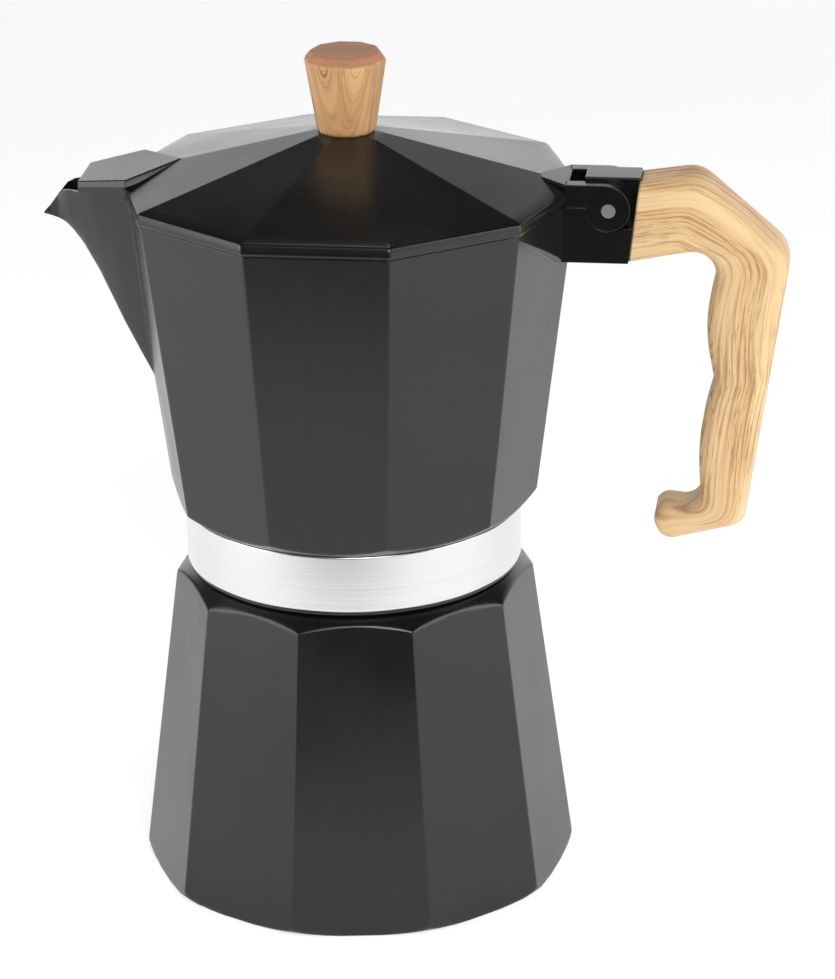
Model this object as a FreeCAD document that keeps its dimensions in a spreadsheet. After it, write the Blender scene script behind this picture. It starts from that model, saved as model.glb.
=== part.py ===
import FreeCAD, Part
import Sketcher
import os
import re

# Stove-top coffee maker, modelled in millimetres.
# +Z is up, the origin is the centre of the underside, the handle is on +X.

Vector = FreeCAD.Vector
doc = FreeCAD.newDocument("coffee_maker")
sheet = doc.addObject("Spreadsheet::Sheet", "Sizes")

SIZES = [
    # how far cuts run clear of a piece, and joined solids start inside it
    ("cut_spare", 5.0, "clear run of a large cut"),
    ("cut_nick", 1.0, "clear run of a small cut"),
    ("join_sink", 0.5, "overlap of solids joined in one piece"),
    ("flush_sink", 0.05, "overlap of solids whose sides are flush"),
    # boiler, all heights from the stove
    ("base_turn", 8.05, "turn of the boiler facets against the upper facets, degrees"),
    ("base_radius", 52.8, "boiler corner radius at the stove"),
    ("shoulder_radius", 43.0, "boiler corner radius at the shoulder"),
    ("shoulder_height", 74.2, ""),
    ("boiler_wall", 2.6, ""),
    ("boiler_floor", 2.8, ""),
    ("foot_inset", 3.2, "how far the round underside stands inside the corners"),
    ("foot_rise", 4.62, "height of the rounding at the foot"),
    ("foot_low_inset", 1.44, "rounding, first corner"),
    ("foot_low_rise", 0.67, ""),
    ("foot_mid_inset", 0.38, "rounding, second corner"),
    ("foot_mid_rise", 2.1, ""),
    ("foot_clear", 0.1, "rounding ends outside the corners"),
    ("shelf_radius", 38.9, "round shelf round the neck"),
    ("shelf_height", 77.3, ""),
    ("neck_radius", 34.2, "root of the outer thread"),
    ("neck_bore", 31.2, ""),
    ("neck_height", 11.7, "neck above the shelf"),
    # thread
    ("thread_pitch", 3.0, ""),
    ("thread_depth", 1.2, ""),
    ("thread_root_width", 1.8, ""),
    ("thread_crest_width", 0.8, ""),
    ("thread_turns", 2.0, ""),
    ("thread_start", 3.4, "first thread above the shelf"),
    ("thread_play", 0.35, "radial clearance of the thread"),
    ("thread_bite", 0.3, "root of a thread sunk in its wall"),
    # safety valve
    ("valve_height", 48.0, ""),
    ("boss_radius", 7.0, ""),
    ("boss_rise", 1.0, "boss face beyond the facet"),
    ("valve_shank_radius", 3.0, ""),
    ("valve_hex", 5.5, "half the width across the flats"),
    ("valve_hex_depth", 4.2, ""),
    ("valve_washer_depth", 0.8, ""),
    ("valve_washer_lap", 2.2, "washer beyond the shank"),
    ("valve_chamber_radius", 2.3, ""),
    ("valve_seat_radius", 1.3, ""),
    ("valve_seat_depth", 1.2, ""),
    ("valve_stem_radius", 0.8, ""),
    ("valve_head_depth", 1.2, ""),
    ("valve_travel_room", 1.5, ""),
    ("valve_nose", 1.6, "stem beyond the hex"),
    ("retainer_depth", 0.9, ""),
    ("spring_wire", 0.2, "wire radius"),
    ("spring_turns", 4.0, ""),
    ("press_fit", 0.01, "clearance of pieces pressed together"),
    ("run_fit", 0.10, "clearance of pieces that turn or slide"),
    ("seat_gap", 0.05, "gap left between faces that seal"),
    # funnel
    ("funnel_play", 0.3, ""),
    ("funnel_wall", 0.8, ""),
    ("funnel_rim_lap", 2.1, "rim over the neck"),
    ("basket_bevel", 1.28, "outer corner of the basket floor"),
    ("basket_depth", 19.5, ""),
    ("funnel_cone_depth", 11.0, ""),
    ("tube_radius", 4.2, ""),
    ("tube_floor_gap", 6.5, "tube end above the boiler floor"),
    ("plate_step", 1.4, ""),
    ("plate_thickness", 0.8, ""),
    ("hole_radius", 0.8, ""),
    ("hole_ring", 5.6, "spacing of the hole rings"),
    # seal
    ("gasket_thickness", 3.5, ""),
    ("gasket_width", 7.4, ""),
    ("gasket_play", 0.3, ""),
    ("gasket_lip", 2.6, "gasket under the filter plate"),
    ("filter_thickness", 0.7, ""),
    ("filter_lap", 2.6, ""),
    # upper vessel
    ("collar_gap", 0.4, "gap between collar and shelf"),
    ("collar_radius", 39.6, ""),
    ("collar_bevel", 0.5, ""),
    ("band_start", 1.3, "band above the collar end"),
    ("band_height", 14.0, ""),
    ("band_thickness", 0.55, ""),
    ("band_bevel", 0.25, ""),
    ("belly_radius", 44.2, "upper corner radius at the bottom corners"),
    ("belly_rise", 3.0, "bottom corners above the band"),
    ("rim_radius", 53.66, "upper corner radius at the rim"),
    ("rim_height", 169.15, ""),
    ("upper_wall", 2.2, ""),
    ("upper_floor", 3.0, ""),
    ("column_foot_radius", 8.0, ""),
    ("column_top_radius", 5.6, ""),
    ("column_bore", 3.1, ""),
    ("column_drop", 20.0, "column top under the rim"),
    ("column_cap", 2.2, ""),
    ("column_slot_width", 3.0, ""),
    ("column_slot_height", 5.0, ""),
    ("cone_radius", 20.0, "mouth under the column"),
    ("cone_rise", 5.0, ""),
    ("cone_skirt", 1.5, "foot of the cone beyond its mouth"),
    # hinge and bracket, set out from the pin
    ("pin_radius", 1.65, ""),
    ("pin_reach", 8.04, "pin beyond the rim corner"),
    ("pin_drop", 0.89, "pin under the rim"),
    ("pin_proud", 0.15, ""),
    ("bracket_half", 8.25, ""),
    ("tongue_half", 4.45, ""),
    ("ear_radius", 5.0, ""),
    ("ear_rise", 6.04, "top of the fork above the pin"),
    ("ear_root_gap", 0.95, "fork underside above the pin"),
    ("ear_bend", 5.8, "rounding at the top of an ear"),
    ("pocket_play", 0.45, ""),
    ("block_back", 10.6, "block edge behind the pin"),
    ("block_root", 7.0, "block reaching in behind its edge"),
    ("block_top", 0.55, "block top above the pin"),
    ("block_drop", 12.66, "block underside below the pin"),
    ("block_step", 4.2, "step below the pin"),
    ("block_lean", 0.1276, "slope of the handle end"),
    ("block_end", 4.6, "lower handle end beyond the pin"),
    ("flare_tip_depth", 2.0, "flare inside the rim corner"),
    ("flare_tip_root", 0.9, "height of a flare tip, inside"),
    ("flare_tip_face", 0.6, "height of a flare tip, at the corner"),
    ("tongue_rise", 6.94, ""),
    ("tongue_sink", 2.0, "tongue root above the block underside"),
    ("tongue_back", 5.75, ""),
    ("web_back", 9.3, "web face behind the pin"),
    ("web_thickness", 2.2, ""),
    ("wedge_shoulder", 0.9, "wedge corner behind the web face"),
    ("wedge_back", 18.6, "wedge tip behind the pin"),
    # handle
    ("handle_half", 7.75, "half the handle width"),
    ("handle_below", 0.6, "handle end below the block"),
    ("handle_under", 0.8, "handle top under the tongue top"),
    ("handle_round", 2.6, ""),
    ("tang_length", 15.0, ""),
    ("tang_half", 3.6, ""),
    ("tang_sink", 2.0, "tang root inside the block"),
    ("tang_half_height", 3.2, ""),
    ("tang_drop", 2.9, "tang centre below the pin"),
    ("tang_play", 0.15, ""),
    ("handle_screw_reach", 7.6, "screw beyond the lower handle end"),
    ("screw_radius", 1.8, ""),
    ("screw_head_radius", 3.3, ""),
    ("screw_head_depth", 2.2, ""),
    ("screw_head_flat", 2.64, "flat of the head inside its rounding"),
    ("screw_head_bevel", 0.77, ""),
    ("screw_head_play", 0.3, ""),
    ("screw_spare", 1.0, "screw end inside the tang"),
    ("screw_slot_width", 0.9, ""),
    ("screw_slot_depth", 1.1, ""),
    ("screw_sink", 1.2, "head sunk in the handle"),
    # lid
    ("lid_overhang", 0.72, ""),
    ("lid_gap", 0.10, ""),
    ("lid_skirt", 2.95, ""),
    ("lid_rise", 11.65, "rise from skirt to knob seat"),
    ("lid_seat_radius", 7.0, ""),
    ("lid_wall", 1.9, ""),
    ("lid_side_wall", 2.4, ""),
    ("cover_tip", 39.0, "spout cover tip from the axis"),
    ("cover_wide_at", 50.2, ""),
    ("cover_wide_half", 12.6, ""),
    ("cover_end_at", 61.5, ""),
    ("cover_end_half", 8.0, ""),
    ("cover_tip_rise", 6.95, "cover top above the rim at its tip"),
    ("cover_end_rise", 3.15, ""),
    ("cover_wall", 1.8, ""),
    ("cover_hollow_tip", 6.0, "hollow reaching in from the widest place"),
    # knob
    ("knob_sides", 10, ""),
    ("knob_foot_radius", 6.9, ""),
    ("knob_top_radius", 9.7, ""),
    ("knob_height", 17.2, ""),
    ("knob_crown", 1.9, ""),
    ("knob_crown_inset", 1.6, ""),
    ("knob_screw_reach", 11.0, ""),
    ("knob_hole_spare", 1.0, ""),
    ("knob_washer_radius", 4.6, ""),
    ("knob_washer_thickness", 0.6, ""),
]

# Spout stations: reach beyond the rim corner, keel under the rim,
# half width at the lip and drop of the lip under the rim.
SPOUT = [
    ("root", -9.6, 54.0, 14.4, 0.0),
    ("leave", -3.2, 41.4, 12.0, 0.0),
    ("low", 0.5, 33.8, 10.6, 0.0),
    ("mid", 6.0, 21.2, 8.5, 0.0),
    ("high", 9.7, 13.2, 6.9, 0.0),
    ("lip", 13.9, 9.2, 4.8, 1.1),
    ("nose", 17.3, 7.9, 3.2, 3.7),
    ("tip", 18.8, 7.5, 2.2, 5.2),
]

# Handle outline, clockwise from the lower end at the bracket: distance
# beyond the pin, height above the pin, rounding of the corner.
HANDLE = [
    ("crown", 20.64, 8.2, 7.0),
    ("elbow", 42.1, -10.5, 8.0),
    ("heel", 32.1, -77.3, 4.0),
    ("sole", 13.5, -82.3, 3.2),
    ("hook", 8.65, -72.3, 2.9),
    ("valley", 21.9, -74.9, 4.5),
    ("lower_swell", 20.9, -55.3, 55.0),
    ("notch", 24.6, -41.6, 1.5),
    ("upper_swell", 21.9, -27.3, 40.0),
    ("armpit", 26.5, -8.9, 5.2),
]

# Perforated discs: holes in the first ring, holes in each outer ring, and
# the outer rings that carry them.
INNER_HOLES = 12
OUTER_HOLES = 24
OUTER_RINGS = (2, 3, 4)

FACETS = 10


def fill_sheet():
    """Write every size into the sheet as text, with its name as alias."""
    rows = list(SIZES)
    for name, reach, keel, half, drop in SPOUT:
        rows.append((f"spout_{name}_reach", reach, ""))
        rows.append((f"spout_{name}_keel", keel, ""))
        rows.append((f"spout_{name}_half", half, ""))
        rows.append((f"spout_{name}_drop", drop, ""))
    rows.append(("spout_wall", 1.4, "spout wall"))
    rows.append(("spout_floor", 2.6, "spout floor above the keel"))
    rows.append(("spout_tip_floor", 1.5, "spout floor above the keel at the tip"))
    for name, reach, rise, bend in HANDLE:
        rows.append((f"handle_{name}_reach", reach, ""))
        rows.append((f"handle_{name}_rise", rise, ""))
        rows.append((f"handle_{name}_bend", bend, ""))
    for index, (name, number, note) in enumerate(rows, start=1):
        sheet.set(f"A{index}", name)
        sheet.set(f"B{index}", str(number))
        sheet.set(f"C{index}", note)
        sheet.setAlias(f"B{index}", name)
    doc.recompute()
    return [row[0] for row in rows]


ALIASES = fill_sheet()
ALIAS_WORD = re.compile(r"\b(" + "|".join(sorted(ALIASES, key=len, reverse=True)) + r")\b")

# Heights and radii that several pieces share, as expressions of the sheet.
PIN_X = "(rim_radius + pin_reach)"
PIN_Z = "(rim_height - pin_drop)"
NECK_TOP = "(shelf_height + neck_height)"
RIM_TOP = f"({NECK_TOP} + seat_gap + funnel_wall)"
GASKET_FOOT = f"({RIM_TOP} + seat_gap)"
CEILING = f"({GASKET_FOOT} + gasket_thickness + seat_gap)"
GASKET_RADIUS = "(neck_radius - 2 * gasket_play)"
COLLAR_END = "(shelf_height + collar_gap)"
BAND_FOOT = f"({COLLAR_END} + band_start)"
BAND_TOP = f"({BAND_FOOT} + band_height)"
BELLY = f"({BAND_TOP} + belly_rise)"
BAND_RADIUS = "(collar_radius + press_fit + band_thickness)"
FLARE = f"((rim_radius - belly_radius) / (rim_height - {BELLY}))"
UPPER_FLOOR = f"({CEILING} + upper_floor)"
BORE_MAJOR = "(neck_radius + thread_depth + thread_play)"
LID_FOOT = "(rim_height + lid_gap)"
LID_RADIUS = "(rim_radius + lid_overhang)"
LID_EDGE = f"({LID_FOOT} + lid_skirt)"
KNOB_SEAT = f"({LID_EDGE} + lid_rise)"
TAPER = "((base_radius - shoulder_radius) / shoulder_height)"
FACET_AT_VALVE = f"((base_radius - {TAPER} * valve_height) * cos(18 deg))"
BOSS_FACE = f"({FACET_AT_VALVE} + boss_rise)"
BASKET_RADIUS = "(neck_bore - funnel_play)"
BASKET_FLOOR = f"({NECK_TOP} + seat_gap - basket_depth)"
PLATE_RADIUS = f"({BASKET_RADIUS} - funnel_wall - run_fit)"
FILTER_RADIUS = f"({GASKET_RADIUS} - gasket_width + gasket_lip - run_fit)"


def bound(expression):
    """Return the expression with each alias pointing at the sheet."""
    return ALIAS_WORD.sub(r"Sizes.\1", str(expression))


def value(expression):
    """Return the number an expression of the sheet stands for."""
    return float(doc.getObject("Sizes").evalExpression(ALIAS_WORD.sub(r"\1", str(expression))))


def new_body(name):
    """Start the named piece."""
    body = doc.addObject("PartDesign::Body", name)
    body.Label = name
    return body


def origin_plane(body, role):
    """Return one of the body's own origin planes."""
    for feature in body.Origin.OriginFeatures:
        if feature.Role == role:
            return feature
    raise ValueError(role)


def start_sketch(body, name, role, offset):
    """Start a sketch on an origin plane, moved along its normal by offset."""
    sketch = body.newObject("Sketcher::SketchObject", f"{body.Name}_{name}")
    sketch.AttachmentSupport = [(origin_plane(body, role), "")]
    sketch.MapMode = "FlatFace"
    if offset != "0":
        sketch.setExpression("AttachmentOffset.Base.z", bound(offset))
    return sketch


def pin_point(sketch, geometry, position, corner):
    """Hold one point of a sketch at a pair of expressions."""
    for axis, kind, expression in ((-2, "DistanceX", corner[0]), (-1, "DistanceY", corner[1])):
        if expression == "0":
            sketch.addConstraint(Sketcher.Constraint("PointOnObject", geometry, position, axis))
        else:
            number = value(expression)
            rule = sketch.addConstraint(Sketcher.Constraint(kind, -1, 1, geometry, position, number))
            sketch.setExpression(f"Constraints[{rule}]", bound(expression))


def polygon(body, name, role, corners, offset="0"):
    """Draw a closed polygon whose corners are pairs of expressions."""
    sketch = start_sketch(body, name, role, offset)
    points = [Vector(value(x), value(y), 0) for x, y in corners]
    count = len(points)
    for index in range(count):
        sketch.addGeometry(Part.LineSegment(points[index], points[(index + 1) % count]), False)
    for index in range(count):
        sketch.addConstraint(Sketcher.Constraint("Coincident", index, 2, (index + 1) % count, 1))
    for index, corner in enumerate(corners):
        pin_point(sketch, index, 1, corner)
    return sketch


def circles(body, name, role, spots, offset="0"):
    """Draw circles, each given as centre x, centre y and radius."""
    sketch = start_sketch(body, name, role, offset)
    for index, (x, y, radius) in enumerate(spots):
        circle = Part.Circle(Vector(value(x), value(y), 0), Vector(0, 0, 1), value(radius))
        sketch.addGeometry(circle, False)
        pin_point(sketch, index, 3, (x, y))
        rule = sketch.addConstraint(Sketcher.Constraint("Radius", index, value(radius)))
        sketch.setExpression(f"Constraints[{rule}]", bound(radius))
    return sketch


def ring_of_corners(radius, sides=FACETS, turn=0.0):
    """Return the corners of a regular polygon as expressions."""
    corners = []
    for index in range(sides):
        angle = turn + index * 360 / sides
        x = "0" if angle % 180 == 90 else f"{radius} * cos({angle} deg)"
        y = "0" if angle % 180 == 0 else f"{radius} * sin({angle} deg)"
        corners.append((x, y))
    return corners


def facet_ring(body, name, radius, height):
    """Draw a ten-sided section at a height."""
    return polygon(body, name, "XY_Plane", ring_of_corners(radius), height)


def add(body, kind, name, sketch=None):
    """Add a feature to the body, with its profile."""
    feature = body.newObject(f"PartDesign::{kind}", f"{body.Name}_{name}")
    if sketch is not None:
        feature.Profile = sketch
    return feature


def loft(body, name, sections, cut=False):
    """Join sections with straight walls, as material or as a cut."""
    feature = add(body, "SubtractiveLoft" if cut else "AdditiveLoft", name, sections[0])
    feature.Sections = sections[1:]
    feature.Ruled = True
    doc.recompute()
    return feature


def turned(body, name, corners, cut=False, axis="V_Axis"):
    """Turn a half section in the XZ plane about an axis of its sketch."""
    sketch = polygon(body, f"{name}_half", "XZ_Plane", corners)
    feature = add(body, "Groove" if cut else "Revolution", name, sketch)
    feature.ReferenceAxis = (sketch, [axis])
    feature.Angle = 360
    doc.recompute()
    return feature


def pad(body, name, sketch, length, both=False, back=False):
    """Pad a sketch by an expression."""
    feature = add(body, "Pad", name, sketch)
    feature.setExpression("Length", bound(length))
    feature.Midplane = both
    feature.Reversed = back
    doc.recompute()
    return feature


def pocket(body, name, sketch, length, both=False, back=False):
    """Cut a sketch into the body by an expression."""
    feature = add(body, "Pocket", name, sketch)
    feature.setExpression("Length", bound(length))
    feature.Midplane = both
    feature.Reversed = back
    doc.recompute()
    return feature


def polar(body, name, seed, count):
    """Repeat a feature round the body's Z axis."""
    pattern = add(body, "PolarPattern", name)
    pattern.Originals = [seed]
    pattern.Axis = (seed.Profile[0], ["N_Axis"])
    pattern.Angle = 360
    pattern.Occurrences = count
    body.Tip = pattern
    doc.recompute()
    return pattern


def thread(body, name, root_radius, tip_radius, start):
    """Wind a thread ridge about Z, first turn centred at the start height."""
    half_root = "thread_root_width / 2"
    half_tip = "thread_crest_width / 2"
    corners = [
        (root_radius, f"{start} - {half_root}"),
        (tip_radius, f"{start} - {half_tip}"),
        (tip_radius, f"{start} + {half_tip}"),
        (root_radius, f"{start} + {half_root}"),
    ]
    sketch = polygon(body, f"{name}_profile", "XZ_Plane", corners)
    ridge = add(body, "AdditiveHelix", name, sketch)
    ridge.ReferenceAxis = (sketch, ["V_Axis"])
    ridge.Mode = "pitch-height-angle"
    ridge.setExpression("Pitch", bound("thread_pitch"))
    ridge.setExpression("Height", bound("thread_pitch * thread_turns"))
    ridge.LeftHanded = False
    ridge.Reversed = False
    doc.recompute()
    return ridge


def fillet(body, name, radius, wanted):
    """Round the edges of the tip that the test wants."""
    tip = body.Tip
    names = []
    for index, edge in enumerate(tip.Shape.Edges, start=1):
        if wanted(edge):
            names.append(f"Edge{index}")
    if not names:
        raise ValueError(f"{body.Name}: no edge for {name}")
    feature = body.newObject("PartDesign::Fillet", f"{body.Name}_{name}")
    feature.Base = (tip, names)
    feature.setExpression("Radius", bound(radius))
    body.Tip = feature
    doc.recompute()
    return feature


def build_boiler():
    """Cast faceted boiler with shelf, threaded neck and valve boss."""
    body = new_body("boiler")
    foot = facet_ring(body, "foot", "base_radius", "0")
    top = f"(base_radius - {TAPER} * {NECK_TOP})"
    head = facet_ring(body, "head", top, NECK_TOP)
    loft(body, "walls", [foot, head])
    # the shoulder cone runs through the shelf edge and the facet corners
    slope = "((shelf_height - shoulder_height) / (shoulder_radius - shelf_radius))"
    turned(body, "shoulder", [
        ("neck_radius", "shelf_height"),
        ("shelf_radius", "shelf_height"),
        ("base_radius + cut_spare", f"shelf_height - {slope} * (base_radius + cut_spare - shelf_radius)"),
        ("base_radius + cut_spare", f"{NECK_TOP} + cut_spare"),
        ("neck_radius", f"{NECK_TOP} + cut_spare"),
    ], cut=True)
    turned(body, "foot_round", [
        ("base_radius - foot_inset", "0"),
        ("base_radius - foot_low_inset", "foot_low_rise"),
        ("base_radius - foot_mid_inset", "foot_mid_rise"),
        ("base_radius + foot_clear", "foot_rise"),
        ("base_radius + cut_spare", "foot_rise"),
        ("base_radius + cut_spare", "0"),
    ], cut=True)
    boss = circles(body, "boss_disc", "XZ_Plane", [("0", "valve_height", "boss_radius")])
    pad(body, "boss", boss, BOSS_FACE, back=True)
    inner_low = f"(base_radius - {TAPER} * boiler_floor - boiler_wall)"
    ceiling = "(shoulder_height - boiler_wall)"
    inner_high = "(shoulder_radius - boiler_wall)"
    low = facet_ring(body, "inside_low", inner_low, "boiler_floor")
    high = facet_ring(body, "inside_high", inner_high, ceiling)
    loft(body, "inside", [low, high], cut=True)
    turned(body, "bore", [
        ("0", f"{ceiling} - cut_nick"),
        ("neck_bore", f"{ceiling} - cut_nick"),
        ("neck_bore", f"{NECK_TOP} + cut_spare"),
        ("0", f"{NECK_TOP} + cut_spare"),
    ], cut=True)
    hole = circles(body, "valve_hole_disc", "XZ_Plane",
                   [("0", "valve_height", "valve_shank_radius + press_fit")])
    pocket(body, "valve_hole", hole, f"{BOSS_FACE} + cut_spare")
    thread(body, "thread", "(neck_radius - thread_bite)", "(neck_radius + thread_depth)",
           "(shelf_height + thread_start)")
    body.setExpression("Placement.Rotation.Angle", bound("base_turn"))
    doc.recompute()
    return body



def place_valve(body):
    """Turn a valve piece, drawn along X, to the boss on the boiler."""
    body.setExpression("Placement.Rotation.Angle", bound("base_turn + 90"))
    body.setExpression("Placement.Base.z", bound("valve_height"))
    doc.recompute()
    return body


VALVE_INNER = f"({FACET_AT_VALVE} - boiler_wall - boss_rise)"
VALVE_SEAT = f"({VALVE_INNER} + valve_seat_depth)"
HEX_FOOT = f"({BOSS_FACE} + valve_washer_depth + 2 * press_fit)"
HEX_END = f"({HEX_FOOT} + valve_hex_depth)"
HEAD_FOOT = f"({VALVE_SEAT} + seat_gap)"
HEAD_END = f"({HEAD_FOOT} + valve_head_depth)"
RETAINER_FOOT = f"({HEX_END} - retainer_depth)"


def build_valve_body():
    """Hexagonal valve body screwed through the boss."""
    body = new_body("valve_body")
    corners = ring_of_corners("valve_hex / cos(30 deg)", 6, 30.0)
    section = polygon(body, "hex_section", "YZ_Plane", corners, HEX_FOOT)
    pad(body, "hex", section, "valve_hex_depth")
    turned(body, "shank", [
        (VALVE_INNER, "0"),
        (VALVE_INNER, "valve_shank_radius"),
        (f"{HEX_FOOT} + cut_nick", "valve_shank_radius"),
        (f"{HEX_FOOT} + cut_nick", "0"),
    ], axis="H_Axis")
    turned(body, "chamber", [
        (f"{VALVE_INNER} - cut_nick", "0"),
        (f"{VALVE_INNER} - cut_nick", "valve_seat_radius"),
        (VALVE_SEAT, "valve_seat_radius"),
        (VALVE_SEAT, "valve_chamber_radius"),
        (f"{HEX_END} + cut_nick", "valve_chamber_radius"),
        (f"{HEX_END} + cut_nick", "0"),
    ], cut=True, axis="H_Axis")
    return place_valve(body)


def valve_ring(name, inner, outer, start, end):
    """Ring of the valve between two distances from the axis of the boiler."""
    body = new_body(name)
    turned(body, "ring", [(start, inner), (start, outer), (end, outer), (end, inner)], axis="H_Axis")
    return place_valve(body)


def build_valve_washer():
    """Fibre seal between the boss and the hexagon."""
    return valve_ring("valve_washer", "(valve_shank_radius + press_fit)",
                      "(valve_shank_radius + valve_washer_lap)", f"({BOSS_FACE} + press_fit)",
                      f"({HEX_FOOT} - press_fit)")


def build_valve_retainer():
    """Ring pressed in the mouth of the valve to hold the spring."""
    return valve_ring("valve_retainer", "(valve_stem_radius + run_fit)",
                      "(valve_chamber_radius - press_fit)", RETAINER_FOOT, HEX_END)


def build_valve_stem():
    """Poppet that steam pushes outward, with its stem."""
    body = new_body("valve_stem")
    turned(body, "poppet", [
        (HEAD_FOOT, "0"),
        (HEAD_FOOT, "(valve_chamber_radius - run_fit)"),
        (HEAD_END, "(valve_chamber_radius - run_fit)"),
        (HEAD_END, "valve_stem_radius"),
        (f"{HEX_END} + valve_nose", "valve_stem_radius"),
        (f"{HEX_END} + valve_nose", "0"),
    ], axis="H_Axis")
    return place_valve(body)


def build_valve_spring():
    """Spring wound round the stem between poppet and retainer."""
    body = new_body("valve_spring")
    mean = "((valve_stem_radius + valve_chamber_radius) / 2)"
    start = f"({HEAD_END} + spring_wire + press_fit)"
    length = f"({RETAINER_FOOT} - {HEAD_END} - valve_travel_room - 2 * spring_wire)"
    wire = circles(body, "wire", "XZ_Plane", [(start, mean, "spring_wire")])
    coil = add(body, "AdditiveHelix", "coil", wire)
    coil.ReferenceAxis = (wire, ["H_Axis"])
    coil.Mode = "pitch-height-angle"
    coil.setExpression("Pitch", bound(f"{length} / spring_turns"))
    coil.setExpression("Height", bound(length))
    doc.recompute()
    return place_valve(body)


def build_funnel():
    """Coffee basket with its rim on the neck and its tube in the water."""
    body = new_body("coffee_funnel")
    inner = f"({BASKET_RADIUS} - funnel_wall)"
    cone_foot = f"({BASKET_FLOOR} - funnel_cone_depth)"
    tube_foot = "(boiler_floor + tube_floor_gap)"
    turned(body, "shell", [
        (BASKET_RADIUS, f"{NECK_TOP} + seat_gap"),
        ("neck_bore + funnel_rim_lap", f"{NECK_TOP} + seat_gap"),
        ("neck_bore + funnel_rim_lap", RIM_TOP),
        (inner, RIM_TOP),
        (inner, BASKET_FLOOR),
        (f"{inner} - plate_step", BASKET_FLOOR),
        ("tube_radius - funnel_wall", cone_foot),
        ("tube_radius - funnel_wall", tube_foot),
        ("tube_radius", tube_foot),
        ("tube_radius", f"{cone_foot} - funnel_wall / 2"),
        (BASKET_RADIUS, f"{BASKET_FLOOR} - basket_bevel"),
    ])
    return body


def perforate(body, foot, thickness):
    """Cut rings of holes through a disc that starts at the foot height."""
    centre = circles(body, "centre_hole", "XY_Plane", [("0", "0", "hole_radius")], foot)
    pocket(body, "centre", centre, f"{thickness} + cut_nick", back=True)
    inner = circles(body, "inner_hole", "XY_Plane", [("hole_ring", "0", "hole_radius")], foot)
    seed = pocket(body, "inner", inner, f"{thickness} + cut_nick", back=True)
    polar(body, "inner_ring", seed, INNER_HOLES)
    spots = [(f"{ring} * hole_ring", "0", "hole_radius") for ring in OUTER_RINGS]
    outer = circles(body, "outer_hole", "XY_Plane", spots, foot)
    seed = pocket(body, "outer", outer, f"{thickness} + cut_nick", back=True)
    polar(body, "outer_rings", seed, OUTER_HOLES)
    return body


def disc(name, radius, foot, thickness):
    """Perforated disc."""
    body = new_body(name)
    face = circles(body, "face", "XY_Plane", [("0", "0", radius)], foot)
    pad(body, "disc", face, thickness)
    return perforate(body, foot, thickness)


def build_gasket():
    """Rubber ring that seals on the rim of the funnel and holds the filter."""
    body = new_body("gasket")
    inner = f"({GASKET_RADIUS} - gasket_width)"
    top = f"({CEILING} - seat_gap)"
    ledge = f"({top} - filter_thickness - press_fit)"
    turned(body, "ring", [
        (inner, GASKET_FOOT),
        (GASKET_RADIUS, GASKET_FOOT),
        (GASKET_RADIUS, top),
        (f"{FILTER_RADIUS} + run_fit", top),
        (f"{FILTER_RADIUS} + run_fit", ledge),
        (inner, ledge),
    ])
    return body


def add_spout(body):
    """Join the V-shaped spout to the walls."""
    sections = []
    for name, *_ in SPOUT:
        corners = [
            ("0", f"rim_height - spout_{name}_keel"),
            (f"spout_{name}_half", f"rim_height - spout_{name}_drop"),
            (f"-spout_{name}_half", f"rim_height - spout_{name}_drop"),
        ]
        place = f"-(rim_radius + spout_{name}_reach)"
        sections.append(polygon(body, f"spout_{name}", "YZ_Plane", corners, place))
    loft(body, "spout", sections)


def cut_channel(body):
    """Open the inside of the spout to the vessel and along its lip."""
    sections = []
    last = len(SPOUT) - 1
    first_shallow = [name for name, *_ in SPOUT].index("high")
    for index, (name, *_) in enumerate(SPOUT):
        share = max(0.0, (index - first_shallow) / (last - first_shallow))
        floor = f"(spout_floor * {1 - share} + spout_tip_floor * {share})"
        corners = [
            ("0", f"rim_height - spout_{name}_keel + {floor}"),
            (f"spout_{name}_half - spout_wall", f"rim_height - spout_{name}_drop + cut_nick"),
            (f"spout_wall - spout_{name}_half", f"rim_height - spout_{name}_drop + cut_nick"),
        ]
        place = f"-(rim_radius + spout_{name}_reach)"
        if index == last:
            place = f"{place} - join_sink"
        sections.append(polygon(body, f"channel_{name}", "YZ_Plane", corners, place))
    loft(body, "channel", sections, cut=True)


def add_bracket(body):
    """Join the hinge block, its side flares, the tongue and the handle tang."""
    inner = f"({PIN_X} - block_back - block_root)"
    low = f"({PIN_Z} - block_drop)"
    high = f"({PIN_Z} + block_top)"
    end = f"({PIN_X} + block_end)"
    step = f"({PIN_Z} - block_step)"
    block = polygon(body, "block_side", "XZ_Plane", [
        (inner, low),
        (end, low),
        (f"{end} + block_lean * (block_drop - block_step)", step),
        (PIN_X, step),
        (PIN_X, high),
        (inner, high),
    ])
    pad(body, "block", block, "2 * bracket_half", both=True)
    for side, sign in (("near", ""), ("far", "-")):
        flank = polygon(body, f"flare_{side}_root", "XZ_Plane", [
            (inner, low),
            (f"{PIN_X} - block_back", low),
            (f"{PIN_X} - block_back", high),
            (inner, high),
        ], f"{sign}(bracket_half - flush_sink)")
        corner = "(rim_radius * cos(36 deg))"
        tip = polygon(body, f"flare_{side}_tip", "XZ_Plane", [
            (f"{corner} - flare_tip_depth", f"{high} - flare_tip_root"),
            (corner, f"{high} - flare_tip_face"),
            (corner, high),
            (f"{corner} - flare_tip_depth", high),
        ], f"{sign}(rim_radius * sin(36 deg) - join_sink)")
        loft(body, f"flare_{side}", [flank, tip])


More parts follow.
